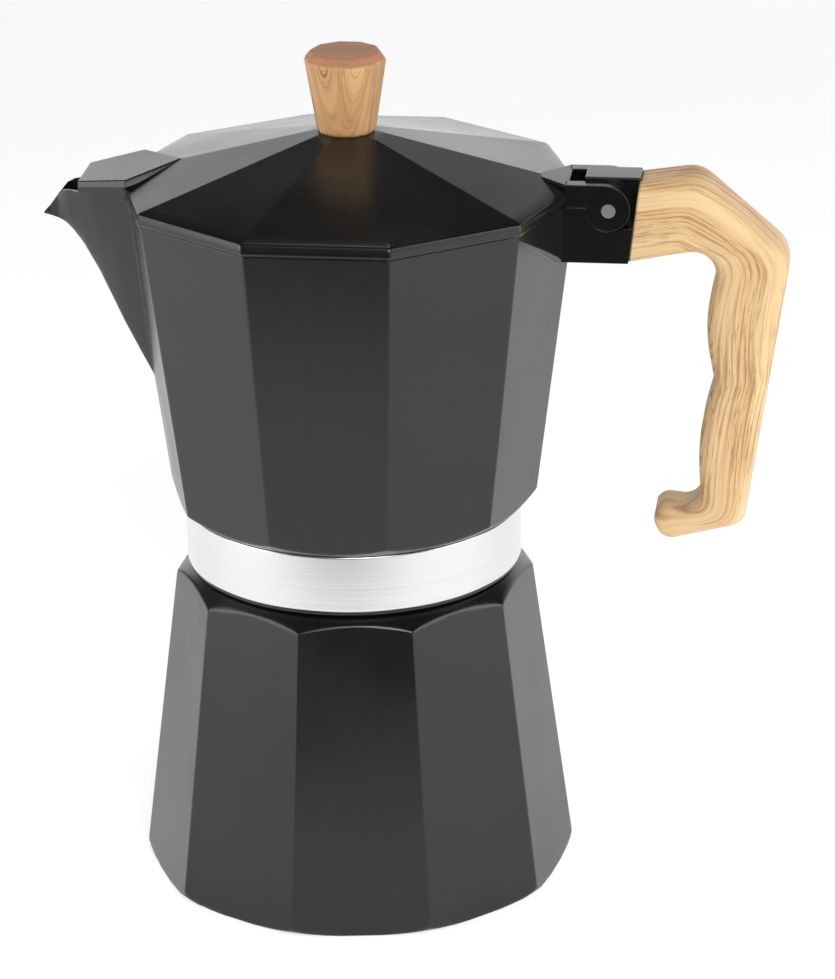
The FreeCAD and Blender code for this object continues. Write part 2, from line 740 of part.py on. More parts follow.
def finish_bracket(body):
    """Cut the ear pockets, then join the tongue and the tang and bore them."""
    low = f"({PIN_Z} - block_drop)"
    end = f"({PIN_X} + block_end)"
    pocket_disc = circles(body, "pocket_disc", "XZ_Plane", [(PIN_X, PIN_Z, "ear_radius + pocket_play")])
    pocket(body, "ear_pocket", pocket_disc, "2 * bracket_half + cut_nick", both=True)
    back = f"({PIN_X} - tongue_back)"
    tongue = polygon(body, "tongue_side", "XZ_Plane", [
        (back, f"{low} + tongue_sink"),
        (f"{end} + block_lean * tongue_sink", f"{low} + tongue_sink"),
        (f"{end} + block_lean * (block_drop + tongue_rise)", f"{PIN_Z} + tongue_rise"),
        (back, f"{PIN_Z} + tongue_rise"),
    ])
    pad(body, "tongue", tongue, "2 * tongue_half", both=True)
    middle = f"({PIN_Z} - tang_drop)"
    tang = polygon(body, "tang_side", "XZ_Plane", [
        (f"{end} - tang_sink", f"{middle} - tang_half_height"),
        (f"{end} + tang_length", f"{middle} - tang_half_height"),
        (f"{end} + tang_length", f"{middle} + tang_half_height"),
        (f"{end} - tang_sink", f"{middle} + tang_half_height"),
    ])
    pad(body, "tang", tang, "2 * tang_half", both=True)
    hole = circles(body, "pin_hole_disc", "XZ_Plane", [(PIN_X, PIN_Z, "pin_radius + press_fit")])
    pocket(body, "pin_hole", hole, "2 * bracket_half + cut_nick", both=True)
    screw = circles(body, "screw_hole_disc", "XY_Plane", [(SCREW_X, "0", "screw_radius + press_fit")],
                    f"{middle} + tang_half_height + cut_nick")
    pocket(body, "screw_hole", screw, "2 * (tang_half_height + cut_nick)")


SCREW_X = f"({PIN_X} + block_end + handle_screw_reach)"
HANDLE_FOOT_X = f"({PIN_X} + block_end - block_lean * handle_below)"
HANDLE_FOOT_Z = f"({PIN_Z} - block_drop - handle_below)"
ARM_SLOPE = (f"(({PIN_Z} + handle_armpit_rise - {HANDLE_FOOT_Z})"
             f" / ({PIN_X} + handle_armpit_reach - {HANDLE_FOOT_X}))")
SCREW_FOOT = f"({HANDLE_FOOT_Z} + {ARM_SLOPE} * ({SCREW_X} - {HANDLE_FOOT_X}) + screw_sink)"
TANG_TOP = f"({PIN_Z} - tang_drop + tang_half_height)"


def build_upper():
    """Faceted upper vessel with collar, spout, column and hinge bracket."""
    body = new_body("upper_vessel")
    base = f"({BAND_TOP} + seat_gap)"
    foot = facet_ring(body, "foot", f"(belly_radius - {FLARE} * (belly_rise - seat_gap))", base)
    rim = facet_ring(body, "rim", "rim_radius", "rim_height")
    loft(body, "walls", [foot, rim])
    # the belly cone runs from the band to the bottom corners of the facets
    slope = f"((belly_rise - seat_gap) / (belly_radius - {BAND_RADIUS}))"
    far = "(rim_radius + 2 * cut_spare)"
    turned(body, "belly", [
        (BAND_RADIUS, base),
        (far, base),
        (far, f"{base} + {slope} * ({far} - {BAND_RADIUS})"),
    ], cut=True)
    turned(body, "collar", [
        ("0", COLLAR_END),
        ("collar_radius - collar_bevel", COLLAR_END),
        ("collar_radius", f"{COLLAR_END} + collar_bevel"),
        ("collar_radius", f"{base} + join_sink"),
        ("0", f"{base} + join_sink"),
    ])
    add_spout(body)
    add_bracket(body)
    inset = "(upper_wall / cos(18 deg))"
    floor_ring = facet_ring(body, "inside_foot",
                            f"(belly_radius + {FLARE} * ({UPPER_FLOOR} - {BELLY}) - {inset})", UPPER_FLOOR)
    rim_ring = facet_ring(body, "inside_rim", f"(rim_radius - {inset})", "rim_height")
    loft(body, "inside", [floor_ring, rim_ring], cut=True)
    cut_channel(body)
    finish_bracket(body)
    top = "(rim_height - column_drop)"
    turned(body, "column", [
        ("0", f"{UPPER_FLOOR} - cut_nick"),
        ("cone_radius + cone_skirt", f"{UPPER_FLOOR} - cut_nick"),
        ("cone_radius + cone_skirt", UPPER_FLOOR),
        ("column_foot_radius", f"{UPPER_FLOOR} + cone_rise"),
        ("column_top_radius", f"{top} - column_cap"),
        ("column_top_radius - column_cap", top),
        ("0", top),
    ])
    step = f"({NECK_TOP} + seat_gap + gasket_play)"
    seat = f"({GASKET_RADIUS} + run_fit)"
    turned(body, "bore", [
        ("0", f"{COLLAR_END} - cut_nick"),
        (BORE_MAJOR, f"{COLLAR_END} - cut_nick"),
        (BORE_MAJOR, step),
        (seat, step),
        (seat, CEILING),
        ("cone_radius", CEILING),
        ("column_bore", f"{CEILING} + cone_rise"),
        ("column_bore", f"{top} - column_cap"),
        ("0", f"{top} - column_cap"),
    ], cut=True)
    slot_top = f"({top} - column_cap)"
    slot = polygon(body, "slot_side", "XZ_Plane", [
        ("-column_slot_width / 2", f"{slot_top} - column_slot_height"),
        ("column_slot_width / 2", f"{slot_top} - column_slot_height"),
        ("column_slot_width / 2", slot_top),
        ("-column_slot_width / 2", slot_top),
    ])
    pocket(body, "slots", slot, "4 * column_top_radius", both=True)
    thread(body, "thread", f"({BORE_MAJOR} + thread_bite)", "(neck_radius + thread_play)",
           "(shelf_height + thread_start - thread_pitch / 2)")
    return body


def build_band():
    """Bright ring on the collar."""
    body = new_body("collar_band")
    inner = "(collar_radius + press_fit)"
    turned(body, "ring", [
        (inner, BAND_FOOT),
        (f"{BAND_RADIUS} - band_bevel", BAND_FOOT),
        (BAND_RADIUS, f"{BAND_FOOT} + band_bevel"),
        (BAND_RADIUS, f"{BAND_TOP} - band_bevel"),
        (f"{BAND_RADIUS} - band_bevel", BAND_TOP),
        (inner, BAND_TOP),
    ])
    return body


def build_pin():
    """Hinge pin through the ears and the tongue."""
    body = new_body("hinge_pin")
    face = circles(body, "face", "XZ_Plane", [(PIN_X, PIN_Z, "pin_radius")])
    pad(body, "rod", face, "2 * (bracket_half + pin_proud)", both=True)
    return body


def edges_at(x, z):
    """Return a test for straight edges across the handle at a corner."""
    def wanted(edge):
        ends = [vertex.Point for vertex in edge.Vertexes]
        if len(ends) != 2:
            return False
        close = all(abs(end.x - x) < 1e-4 and abs(end.z - z) < 1e-4 for end in ends)
        return close and abs(ends[0].y - ends[1].y) > 1
    return wanted


def build_handle():
    """Flat bar handle with a hook foot, rounded along its edges."""
    body = new_body("handle")
    head_z = f"({PIN_Z} + tongue_rise - handle_under)"
    head_x = f"({HANDLE_FOOT_X} + block_lean * ({head_z} - {HANDLE_FOOT_Z}))"
    corners = [(HANDLE_FOOT_X, HANDLE_FOOT_Z), (head_x, head_z)]
    for name, *_ in HANDLE:
        corners.append((f"({PIN_X} + handle_{name}_reach)", f"({PIN_Z} + handle_{name}_rise)"))
    outline = polygon(body, "outline", "XZ_Plane", corners)
    pad(body, "bar", outline, "2 * handle_half", both=True)
    for name, *_ in HANDLE:
        x = value(f"{PIN_X} + handle_{name}_reach")
        z = value(f"{PIN_Z} + handle_{name}_rise")
        fillet(body, f"{name}_round", f"handle_{name}_bend", edges_at(x, z))
    half = value("handle_half")
    foot = Vector(value(HANDLE_FOOT_X), 0, value(HANDLE_FOOT_Z))
    head = Vector(value(head_x), 0, value(head_z))
    end_normal = (head - foot).cross(Vector(0, 1, 0)).normalize()

    def long_edge(edge):
        """Tell whether an edge runs along a flank but not at the bracket."""
        if not all(abs(abs(v.Point.y) - half) < 1e-4 for v in edge.Vertexes):
            return False
        if abs(edge.Vertexes[0].Point.y - edge.Vertexes[-1].Point.y) > 1e-4:
            return False
        middle = edge.valueAt((edge.FirstParameter + edge.LastParameter) / 2)
        return abs((middle - foot).dot(end_normal)) > 1e-3
    fillet(body, "long_round", "handle_round", long_edge)
    middle = f"({PIN_Z} - tang_drop)"
    end = f"({PIN_X} + block_end)"
    room = "(tang_half_height + tang_play)"
    mortise = polygon(body, "mortise_side", "XZ_Plane", [
        (f"{end} - tang_length", f"{middle} - {room}"),
        (f"{end} + tang_length + tang_play", f"{middle} - {room}"),
        (f"{end} + tang_length + tang_play", f"{middle} + {room}"),
        (f"{end} - tang_length", f"{middle} + {room}"),
    ])
    pocket(body, "mortise", mortise, "2 * (tang_half + tang_play)", both=True)
    shank = circles(body, "shank_disc", "XY_Plane", [(SCREW_X, "0", "screw_radius + run_fit")], middle)
    pocket(body, "shank_hole", shank, f"{middle} - {SCREW_FOOT}")
    seat = circles(body, "seat_disc", "XY_Plane", [(SCREW_X, "0", "screw_head_radius + screw_head_play")],
                   f"{SCREW_FOOT} + screw_head_depth")
    pocket(body, "seat", seat, "screw_head_depth + cut_spare + 2 * screw_sink")
    return body


def build_screw(name, reach_x, foot, shank_top):
    """Slotted pan-head screw, head down."""
    body = new_body(name)
    turned(body, "blank", [
        ("0", foot),
        ("screw_head_flat", foot),
        ("screw_head_radius", f"{foot} + screw_head_bevel"),
        ("screw_head_radius", f"{foot} + screw_head_depth"),
        ("screw_radius", f"{foot} + screw_head_depth"),
        ("screw_radius", shank_top),
        ("0", shank_top),
    ])
    slot = polygon(body, "slot_side", "XZ_Plane", [
        ("-screw_slot_width / 2", f"{foot} - cut_nick"),
        ("screw_slot_width / 2", f"{foot} - cut_nick"),
        ("screw_slot_width / 2", f"{foot} + screw_slot_depth"),
        ("-screw_slot_width / 2", f"{foot} + screw_slot_depth"),
    ])
    pocket(body, "slot", slot, "2 * screw_head_radius + cut_nick", both=True)
    if reach_x != "0":
        body.setExpression("Placement.Base.x", bound(reach_x))
        doc.recompute()
    return body


LID_SLOPE = f"(lid_rise / ({LID_RADIUS} - lid_seat_radius))"
WASHER_TOP = f"({KNOB_SEAT} - lid_wall - press_fit)"
WASHER_FOOT = f"({WASHER_TOP} - knob_washer_thickness)"


def add_cover(body):
    """Join the arrow-shaped cover over the spout, its top sloping down."""
    shape = polygon(body, "cover_shape", "XY_Plane", [
        ("-cover_tip", "0"),
        ("-cover_wide_at", "-cover_wide_half"),
        ("-cover_end_at", "-cover_end_half"),
        ("-cover_end_at", "cover_end_half"),
        ("-cover_wide_at", "cover_wide_half"),
    ], LID_FOOT)
    pad(body, "cover", shape, "cover_tip_rise")
    slope = "((cover_tip_rise - cover_end_rise) / (cover_end_at - cover_tip))"
    above = polygon(body, "cover_slope_side", "XZ_Plane", [
        ("-cover_tip", "rim_height + cover_tip_rise"),
        ("-cover_tip", "rim_height + cover_tip_rise + cut_spare"),
        ("-cover_end_at - cut_spare", "rim_height + cover_tip_rise + cut_spare"),
        ("-cover_end_at - cut_spare", f"rim_height + cover_end_rise - cut_spare * {slope}"),
    ])
    pocket(body, "cover_slope", above, "2 * (cover_wide_half + cut_nick)", both=True)


def cut_lid_hollow(body):
    """Hollow the lid and the spout cover from below."""
    inner = f"({LID_RADIUS} - lid_side_wall)"
    sections = [
        facet_ring(body, "hollow_foot", inner, f"{LID_FOOT} - join_sink"),
        facet_ring(body, "hollow_edge", inner, f"{LID_EDGE} + {LID_SLOPE} * lid_side_wall - lid_wall"),
        facet_ring(body, "hollow_top", "lid_seat_radius", f"{KNOB_SEAT} - lid_wall"),
    ]
    loft(body, "hollow", sections, cut=True)
    shape = polygon(body, "cover_hollow_shape", "XY_Plane", [
        ("cover_hollow_tip - cover_wide_at", "0"),
        ("-cover_wide_at", "-(cover_wide_half - cover_wall)"),
        ("-(cover_end_at - cover_wall)", "-(cover_end_half - cover_wall)"),
        ("-(cover_end_at - cover_wall)", "cover_end_half - cover_wall"),
        ("-cover_wide_at", "cover_wide_half - cover_wall"),
    ], f"{LID_FOOT} - join_sink")
    pocket(body, "cover_hollow", shape, "join_sink + cover_end_rise - lid_gap - cover_wall", back=True)


def build_lid():
    """Shallow faceted lid with spout cover and hinge fork."""
    body = new_body("lid")
    sections = [
        facet_ring(body, "foot", LID_RADIUS, LID_FOOT),
        facet_ring(body, "edge", LID_RADIUS, LID_EDGE),
        facet_ring(body, "seat", "lid_seat_radius", KNOB_SEAT),
    ]
    loft(body, "roof", sections)
    add_cover(body)
    top = f"({PIN_Z} + ear_rise)"
    web = f"({PIN_X} - web_back)"
    wedge = polygon(body, "wedge_shape", "XY_Plane", [
        (f"{PIN_X} - wedge_back", "0"),
        (f"{web} - wedge_shoulder", "-bracket_half"),
        (web, "-bracket_half"),
        (web, "bracket_half"),
        (f"{web} - wedge_shoulder", "bracket_half"),
    ], LID_FOOT)
    pad(body, "wedge", wedge, f"{top} - {LID_FOOT}")
    cut_lid_hollow(body)
    under = f"({PIN_Z} + ear_root_gap)"
    bar = polygon(body, "bar_side", "XZ_Plane", [
        (f"{web} - web_thickness", under),
        (PIN_X, under),
        (PIN_X, PIN_Z),
        (f"{PIN_X} + ear_radius", PIN_Z),
        (f"{PIN_X} + ear_radius", top),
        (f"{web} - web_thickness", top),
    ])
    pad(body, "bar", bar, "2 * bracket_half", both=True)
    corner = edges_at(value(f"{PIN_X} + ear_radius"), value(top))
    fillet(body, "ear_round", "ear_bend", corner)
    lobe = circles(body, "lobe_disc", "XZ_Plane", [(PIN_X, PIN_Z, "ear_radius")])
    pad(body, "lobe", lobe, "2 * bracket_half", both=True)
    slot = polygon(body, "slot_side", "XZ_Plane", [
        (web, f"{PIN_Z} - 2 * ear_radius"),
        (f"{PIN_X} + 2 * ear_radius", f"{PIN_Z} - 2 * ear_radius"),
        (f"{PIN_X} + 2 * ear_radius", f"{top} + cut_spare"),
        (web, f"{top} + cut_spare"),
    ])
    pocket(body, "slot", slot, "2 * (tongue_half + run_fit)", both=True)
    hole = circles(body, "pin_hole_disc", "XZ_Plane", [(PIN_X, PIN_Z, "pin_radius + run_fit")])
    pocket(body, "pin_hole", hole, "2 * bracket_half + cut_nick", both=True)
    knob_hole = circles(body, "knob_hole_disc", "XY_Plane", [("0", "0", "screw_radius + run_fit")],
                        f"{KNOB_SEAT} + cut_nick")
    pocket(body, "knob_hole", knob_hole, "lid_wall + 2 * cut_nick")
    return body


def build_knob():
    """Faceted knob, wider at the top, with a crown."""
    body = new_body("lid_knob")
    sides = int(value("knob_sides"))
    foot = f"({KNOB_SEAT} + press_fit)"
    brow = f"({foot} + knob_height)"
    sections = [
        polygon(body, "foot", "XY_Plane", ring_of_corners("knob_foot_radius", sides), foot),
        polygon(body, "brow", "XY_Plane", ring_of_corners("knob_top_radius", sides), brow),
        polygon(body, "crown", "XY_Plane",
                ring_of_corners("(knob_top_radius - knob_crown_inset)", sides), f"{brow} + knob_crown"),
    ]
    loft(body, "walls", sections)
    hole = circles(body, "hole_disc", "XY_Plane", [("0", "0", "screw_radius + press_fit")], foot)
    pocket(body, "hole", hole, "knob_screw_reach + knob_hole_spare", back=True)
    return body


def build_knob_washer():
    """Washer between the lid and the head of the knob screw."""
    body = new_body("knob_washer")
    turned(body, "ring", [
        ("screw_radius + run_fit", WASHER_FOOT),
        ("knob_washer_radius", WASHER_FOOT),
        ("knob_washer_radius", WASHER_TOP),
        ("screw_radius + run_fit", WASHER_TOP),
    ])
    return body


def build_all():
    """Build every piece, in the order of assembly."""
    build_boiler()
    build_valve_body()
    build_valve_washer()
    build_valve_stem()
    build_valve_spring()
    build_valve_retainer()
    build_funnel()
    disc("funnel_plate", PLATE_RADIUS, f"({BASKET_FLOOR} + press_fit)", "plate_thickness")
    build_gasket()
    disc("filter_plate", FILTER_RADIUS, f"({CEILING} - seat_gap - filter_thickness)", "filter_thickness")
    build_upper()
    build_band()
    build_pin()
    build_handle()
    build_screw("handle_screw", SCREW_X, SCREW_FOOT, f"({TANG_TOP} - screw_spare)")
    build_lid()
    build_knob()
    build_knob_washer()
    screw_foot = f"({WASHER_FOOT} - press_fit - screw_head_depth)"
    build_screw("knob_screw", "0", screw_foot, f"({KNOB_SEAT} + knob_screw_reach)")


def check_and_write():
    """Refuse a broken feature or shape, then write one file a piece."""
    doc.recompute()
    for item in doc.Objects:
        if "Invalid" in item.State or "Error" in item.State:
            raise RuntimeError(f"{item.Name} is not built: {item.State}")
    os.makedirs("parts", exist_ok=True)
    for body in doc.findObjects("PartDesign::Body"):
        shape = body.Shape
        if shape.isNull() or not shape.isValid() or len(shape.Solids) != 1:
            raise RuntimeError(f"{body.Label} is not one valid solid")
        shape.exportStep(os.path.join("parts", f"{body.Label}.step"))


build_all()
check_and_write()
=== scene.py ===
"""Looks of a stove-top coffee maker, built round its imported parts."""

import logging
import math
from dataclasses import dataclass, field
from enum import Enum
from typing import Union

import bmesh
import bpy
import numpy as np
from mathutils import Matrix, Vector


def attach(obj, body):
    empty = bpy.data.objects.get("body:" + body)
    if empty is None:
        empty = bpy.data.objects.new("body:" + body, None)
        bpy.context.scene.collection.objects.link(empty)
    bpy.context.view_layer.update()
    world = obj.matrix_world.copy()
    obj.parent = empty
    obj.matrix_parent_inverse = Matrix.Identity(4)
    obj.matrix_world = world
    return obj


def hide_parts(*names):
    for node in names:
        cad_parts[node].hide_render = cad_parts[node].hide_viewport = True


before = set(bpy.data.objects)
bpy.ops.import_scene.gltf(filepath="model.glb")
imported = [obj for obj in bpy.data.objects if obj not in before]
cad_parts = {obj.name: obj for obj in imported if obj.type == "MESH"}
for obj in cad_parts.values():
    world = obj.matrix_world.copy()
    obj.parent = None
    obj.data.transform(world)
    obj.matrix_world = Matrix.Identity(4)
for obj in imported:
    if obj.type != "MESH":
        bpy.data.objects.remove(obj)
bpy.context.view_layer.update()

LOG = logging.getLogger("coffee_maker")
MM = 0.001
FACETS = 10
FACET_STEP = 2 * math.pi / FACETS
TINY = 1e-9
MERGE_GAP = 2e-6
GRAIN_MAP = "grain"
PIN = (61.70, 168.26)
FORK_HALF = 8.25

Colour = tuple[float, float, float]
Array = np.ndarray
Value = Union["Socket", float, tuple]


# shaders


class Socket:
    """One output of a shader tree; arithmetic on it adds Math nodes."""

    def __init__(self, tree: "Tree", link: bpy.types.NodeSocket) -> None:
        """Keep the tree and the output."""
        self.tree = tree
        self.link = link

    def math(self, operation: str, *values: Value) -> "Socket":
        """Add a Math node.

        Args:
            operation: The node's operation.
            values: Its inputs, in order.

        Returns:
            The node's output.
        """
        node = self.tree.node("ShaderNodeMath", {"operation": operation}, dict(enumerate(values)))
        return Socket(self.tree, node.outputs[0])

    def __add__(self, other: Value) -> "Socket":
        """Add."""
        return self.math("ADD", self, other)

    def __radd__(self, other: Value) -> "Socket":
        """Add, reflected."""
        return self.math("ADD", other, self)

    def __sub__(self, other: Value) -> "Socket":
        """Subtract."""
        return self.math("SUBTRACT", self, other)

    def __rsub__(self, other: Value) -> "Socket":
        """Subtract, reflected."""
        return self.math("SUBTRACT", other, self)

    def __mul__(self, other: Value) -> "Socket":
        """Multiply."""
        return self.math("MULTIPLY", self, other)

    def __rmul__(self, other: Value) -> "Socket":
        """Multiply, reflected."""
        return self.math("MULTIPLY", other, self)


    def band(self, low: float, high: float) -> "Socket":
        """Rise smoothly from 0 at low to 1 at high."""
        node = self.tree.node(
            "ShaderNodeMapRange",
            {"interpolation_type": "SMOOTHSTEP", "clamp": True},
            {"Value": self, "From Min": low, "From Max": high},
        )
        return Socket(self.tree, node.outputs[0])


class Tree:
    """A material under construction."""

    def __init__(self, name: str) -> None:
        """Start an empty material.

        Args:
            name: The material's name.
        """
        self.material = bpy.data.materials.new(name)
        self.material.use_nodes = True
        self.material.node_tree.nodes.clear()

    def node(self, kind: str, settings: dict, inputs: dict) -> bpy.types.Node:
        """Add a node, with its settings before its sockets.

        Args:
            kind: The node's type.
            settings: The node's attributes.
            inputs: Socket name or index against a value or a Socket.

        Returns:
            The node.
        """
        made = self.material.node_tree.nodes.new(kind)
        for key, setting in settings.items():
            setattr(made, key, setting)
        for key, given in inputs.items():
            if isinstance(given, Socket):
                self.material.node_tree.links.new(given.link, made.inputs[key])
            else:
                made.inputs[key].default_value = given
        return made

    def out(self, kind: str, settings: dict, inputs: dict, key: Union[int, str] = 0) -> Socket:
        """Add a node and return one of its outputs."""
        return Socket(self, self.node(kind, settings, inputs).outputs[key])

    def place(self, scale: tuple = (1.0, 1.0, 1.0), uv: bool = False) -> Socket:
        """Give stretched coordinates of the piece.

        Args:
            scale: Pattern repeats per metre, or per unit of the UV map.
            uv: Read the piece's grain map instead of Object coordinates.

        Returns:
            The mapped vector.
        """
        if uv:
            source = self.out("ShaderNodeUVMap", {"uv_map": GRAIN_MAP}, {})
        else:
            source = self.out("ShaderNodeTexCoord", {}, {}, "Object")
        return self.out("ShaderNodeMapping", {}, {"Vector": source, "Scale": scale})

    def noise(self, scale: float, detail: float = 3.0, warp: float = 0.0, at: Socket = None) -> Socket:
        """Give fractal noise between 0 and 1, at the piece's own coordinates unless told."""
        inputs = {"Vector": at or self.place(), "Scale": scale, "Detail": detail, "Distortion": warp}
        return self.out("ShaderNodeTexNoise", {}, inputs)

    def blend(self, share: Value, first: Value, second: Value) -> Socket:
        """Mix two colours.

        Args:
            share: How much of the second colour.
            first: Colour at 0.
            second: Colour at 1.

        Returns:
            The mixed colour.
        """
        sides = [(*side, 1.0) if isinstance(side, tuple) else side for side in (first, second)]
        return self.out("ShaderNodeMix", {"data_type": "RGBA"}, {0: share, 6: sides[0], 7: sides[1]}, 2)

    def bump(self, height: Socket, depth: float, strength: float = 1.0) -> Socket:
        """Turn a height into a normal, depth in metres."""
        return self.out("ShaderNodeBump", {}, {"Height": height, "Distance": depth, "Strength": strength})

    def finish(self, inputs: dict) -> bpy.types.Material:
        """Close the tree with one principled shader.

        Args:
            inputs: Its sockets.

        Returns:
            The material.
        """
        shader = self.out("ShaderNodeBsdfPrincipled", {}, inputs)
        self.node("ShaderNodeOutputMaterial", {}, {"Surface": shader})
        return self.material


@dataclass(frozen=True)
class BlackCoat:
    """Satin black coat on cast metal, with a faint orange peel."""

    name: str = "satin_black_coat"
    dark: Colour = (0.0035, 0.0036, 0.0038)
    pale: Colour = (0.0060, 0.0061, 0.0064)
    gloss: float = 0.19

    def make(self) -> bpy.types.Material:
        """Build the material."""
        tree = Tree(self.name)
        cloud = tree.noise(26.0, 4.0)
        peel = tree.noise(1500.0, 2.0)
        dust = tree.noise(5200.0, 1.0).band(0.66, 0.78)
        colour = tree.blend(cloud.band(0.3, 0.7), self.dark, self.pale)
        colour = tree.blend(dust * 0.07, colour, (0.10, 0.10, 0.11))
        return tree.finish({
            "Base Color": colour,
            "Roughness": self.gloss + 0.10 * cloud.band(0.25, 0.8) + 0.05 * peel,
            "IOR": 1.5,
            "Normal": tree.bump(peel + 0.2 * cloud, 0.00005, 0.22),
        })


@dataclass(frozen=True)
class Brushed:
    """Steel drawn or turned round the upright axis."""

    name: str = "polished_band_steel"
    colour: Colour = (0.77, 0.77, 0.775)
    dull: Colour = (0.64, 0.64, 0.65)
    gloss: float = 0.17
    lines: float = 2600.0

    def make(self) -> bpy.types.Material:
        """Build the material; the lines run round the axis."""
        tree = Tree(self.name)
        streak = tree.noise(1.0, at=tree.place((14.0, 14.0, self.lines)))
        patch = tree.noise(45.0, 3.0)
        return tree.finish({
            "Base Color": tree.blend(streak * 0.5 + patch * 0.3, self.colour, self.dull),
            "Metallic": 1.0,
            "Roughness": self.gloss + 0.10 * streak + 0.05 * patch,
            "Normal": tree.bump(streak, 0.000012, 0.5),
        })


@dataclass(frozen=True)
class CastMetal:
    """Bare metal as cast or pressed, with a fine grain."""

    name: str
    colour: Colour
    dull: Colour
    gloss: float
    grain: float

    def make(self) -> bpy.types.Material:
        """Build the material."""
        tree = Tree(self.name)
        grain = tree.noise(self.grain, 4.0)
        stain = tree.noise(90.0, 3.0, 0.6)
        return tree.finish({
            "Base Color": tree.blend(stain.band(0.35, 0.75), self.colour, self.dull),
            "Metallic": 1.0,
            "Roughness": self.gloss + 0.12 * grain + 0.10 * stain.band(0.4, 0.7),
            "Normal": tree.bump(grain, 0.00004, 0.4),
        })


@dataclass(frozen=True)
class Moulded:
    """Soft or fibrous sheet material with specks."""

    name: str
    colour: Colour
    speck: Colour
    gloss: float
    grain: float

    def make(self) -> bpy.types.Material:
        """Build the material."""
        tree = Tree(self.name)
        fleck = tree.noise(self.grain, 4.0, 0.4)
        patch = tree.noise(120.0, 2.0)
        return tree.finish({
            "Base Color": tree.blend(fleck.band(0.5, 0.75) * 0.6 + patch * 0.2, self.colour, self.speck),
            "Roughness": self.gloss + 0.12 * fleck,
            "Normal": tree.bump(fleck, 0.00005, 0.5),
        })


@dataclass(frozen=True)
class WoodPrint:
    """Plastic with a printed wood grain that follows the piece's grain map.

    The map runs in millimetres: first along the grain, then across it.
    """

    name: str
    pale: Colour
    warm: Colour
    line: Colour
    fleck_share: float
    # cap: the top face and chamfer above cap_height turn darker and redder; partly the top's own tone, partly
    # painted shade
    cap: Colour = (0.42, 0.175, 0.085)
    cap_height: float = 0.2014
    gloss: float = 0.46

    def layer(self, tree: Tree, stretch: tuple, detail: float, warp: float = 0.0) -> Socket:
        """Give noise on the grain map, stretched along and across it."""
        return tree.noise(1.0, detail, warp, tree.place((*stretch, 1.0), uv=True))

    def make(self) -> bpy.types.Material:
        """Build the material from fibres, pores and denser zones, with a darker, redder top that is partly
        painted shade.
        """
        tree = Tree(self.name)
        fibre = self.layer(tree, (0.045, 1.5), 4.0, 0.3)
        tone = self.layer(tree, (0.010, 0.16), 3.0)
        pore = self.layer(tree, (0.20, 3.4), 3.0).band(0.52, 0.66)
        dense = self.layer(tree, (0.022, 0.13), 2.0).band(0.38, 0.62)
        colour = tree.blend(tone.band(0.32, 0.68), self.pale, self.warm)
        colour = tree.blend(fibre.band(0.46, 0.64) * (0.26 + 0.46 * dense), colour, self.line)
        colour = tree.blend(0.0247567 + 0.0495134 * dense, colour, self.line)
        colour = tree.blend(pore * dense * self.fleck_share, colour, self.line)
        height = tree.out("ShaderNodeSeparateXYZ", {}, {0: tree.place()}, 2)
        # darker, redder top: partly the knob's own tone, partly painted shade on the chamfer
        redder_top_and_shade = height.band(self.cap_height - 0.0003, self.cap_height)
        return tree.finish({
            "Base Color": tree.blend(redder_top_and_shade * 0.75, colour, self.cap),
            "Roughness": self.gloss + 0.10 * fibre,
            "IOR": 1.45,
            "Normal": tree.bump(1 - pore * 0.6, 0.00004, 0.35),
        })


@dataclass(frozen=True)
class Studio:
    """Matt paint of the floor and the card."""

    name: str = "studio_floor"
    colour: Colour = (0.70, 0.70, 0.70)
    worn: Colour = (0.67, 0.67, 0.67)
    glow: float = 0.60

    def make(self) -> bpy.types.Material:
        """Build the material."""
        tree = Tree(self.name)
        cloud = tree.noise(tree.place((1, 1, 1)), 3.0, 2.0)
        return tree.finish({
            "Base Color": tree.blend(cloud, self.colour, self.worn),
            "Roughness": 0.9,
            "Specular IOR Level": 0.0,
            "Emission Color": (1.0, 1.0, 1.0, 1.0),
            "Emission Strength": self.glow,
        })


class Finish(Enum):
    """Every finish of the object, named for the part it is on."""

    COAT = BlackCoat()
    BAND = Brushed()
    STEEL = Brushed("turned_steel", (0.72, 0.72, 0.73), (0.55, 0.55, 0.56), 0.28, 3800.0)
    BRASS = CastMetal("turned_brass", (0.62, 0.43, 0.16), (0.42, 0.27, 0.10), 0.24, 2600.0)
    BARE = CastMetal("bare_aluminium", (0.72, 0.72, 0.73), (0.52, 0.52, 0.53), 0.32, 3000.0)
    RUBBER = Moulded("pale_seal_rubber", (0.62, 0.58, 0.50), (0.50, 0.46, 0.38), 0.52, 1800.0)
    FIBRE = Moulded("red_fibre", (0.20, 0.055, 0.035), (0.11, 0.03, 0.02), 0.62, 2400.0)
    # painted shadow: a near-black finish for the strip that stands in for the shade in the groove under the
    # spout cover
    SEAM = Moulded("seam_shadow", (0.004, 0.004, 0.004), (0.007, 0.007, 0.007), 0.75, 1500.0)
    HANDLE = WoodPrint("pale_wood_print", (0.82, 0.60, 0.325), (0.74, 0.49, 0.24),
                       (0.37, 0.17, 0.06), 0.80)
    KNOB = WoodPrint("brown_wood_print", (0.78, 0.47, 0.22), (0.60, 0.32, 0.135),
                     (0.19, 0.075, 0.028), 0.60)

    def material(self) -> bpy.types.Material:
        """Give the finish's material, made once."""
        return bpy.data.materials.get(self.value.name) or self.value.make()


# surfaces


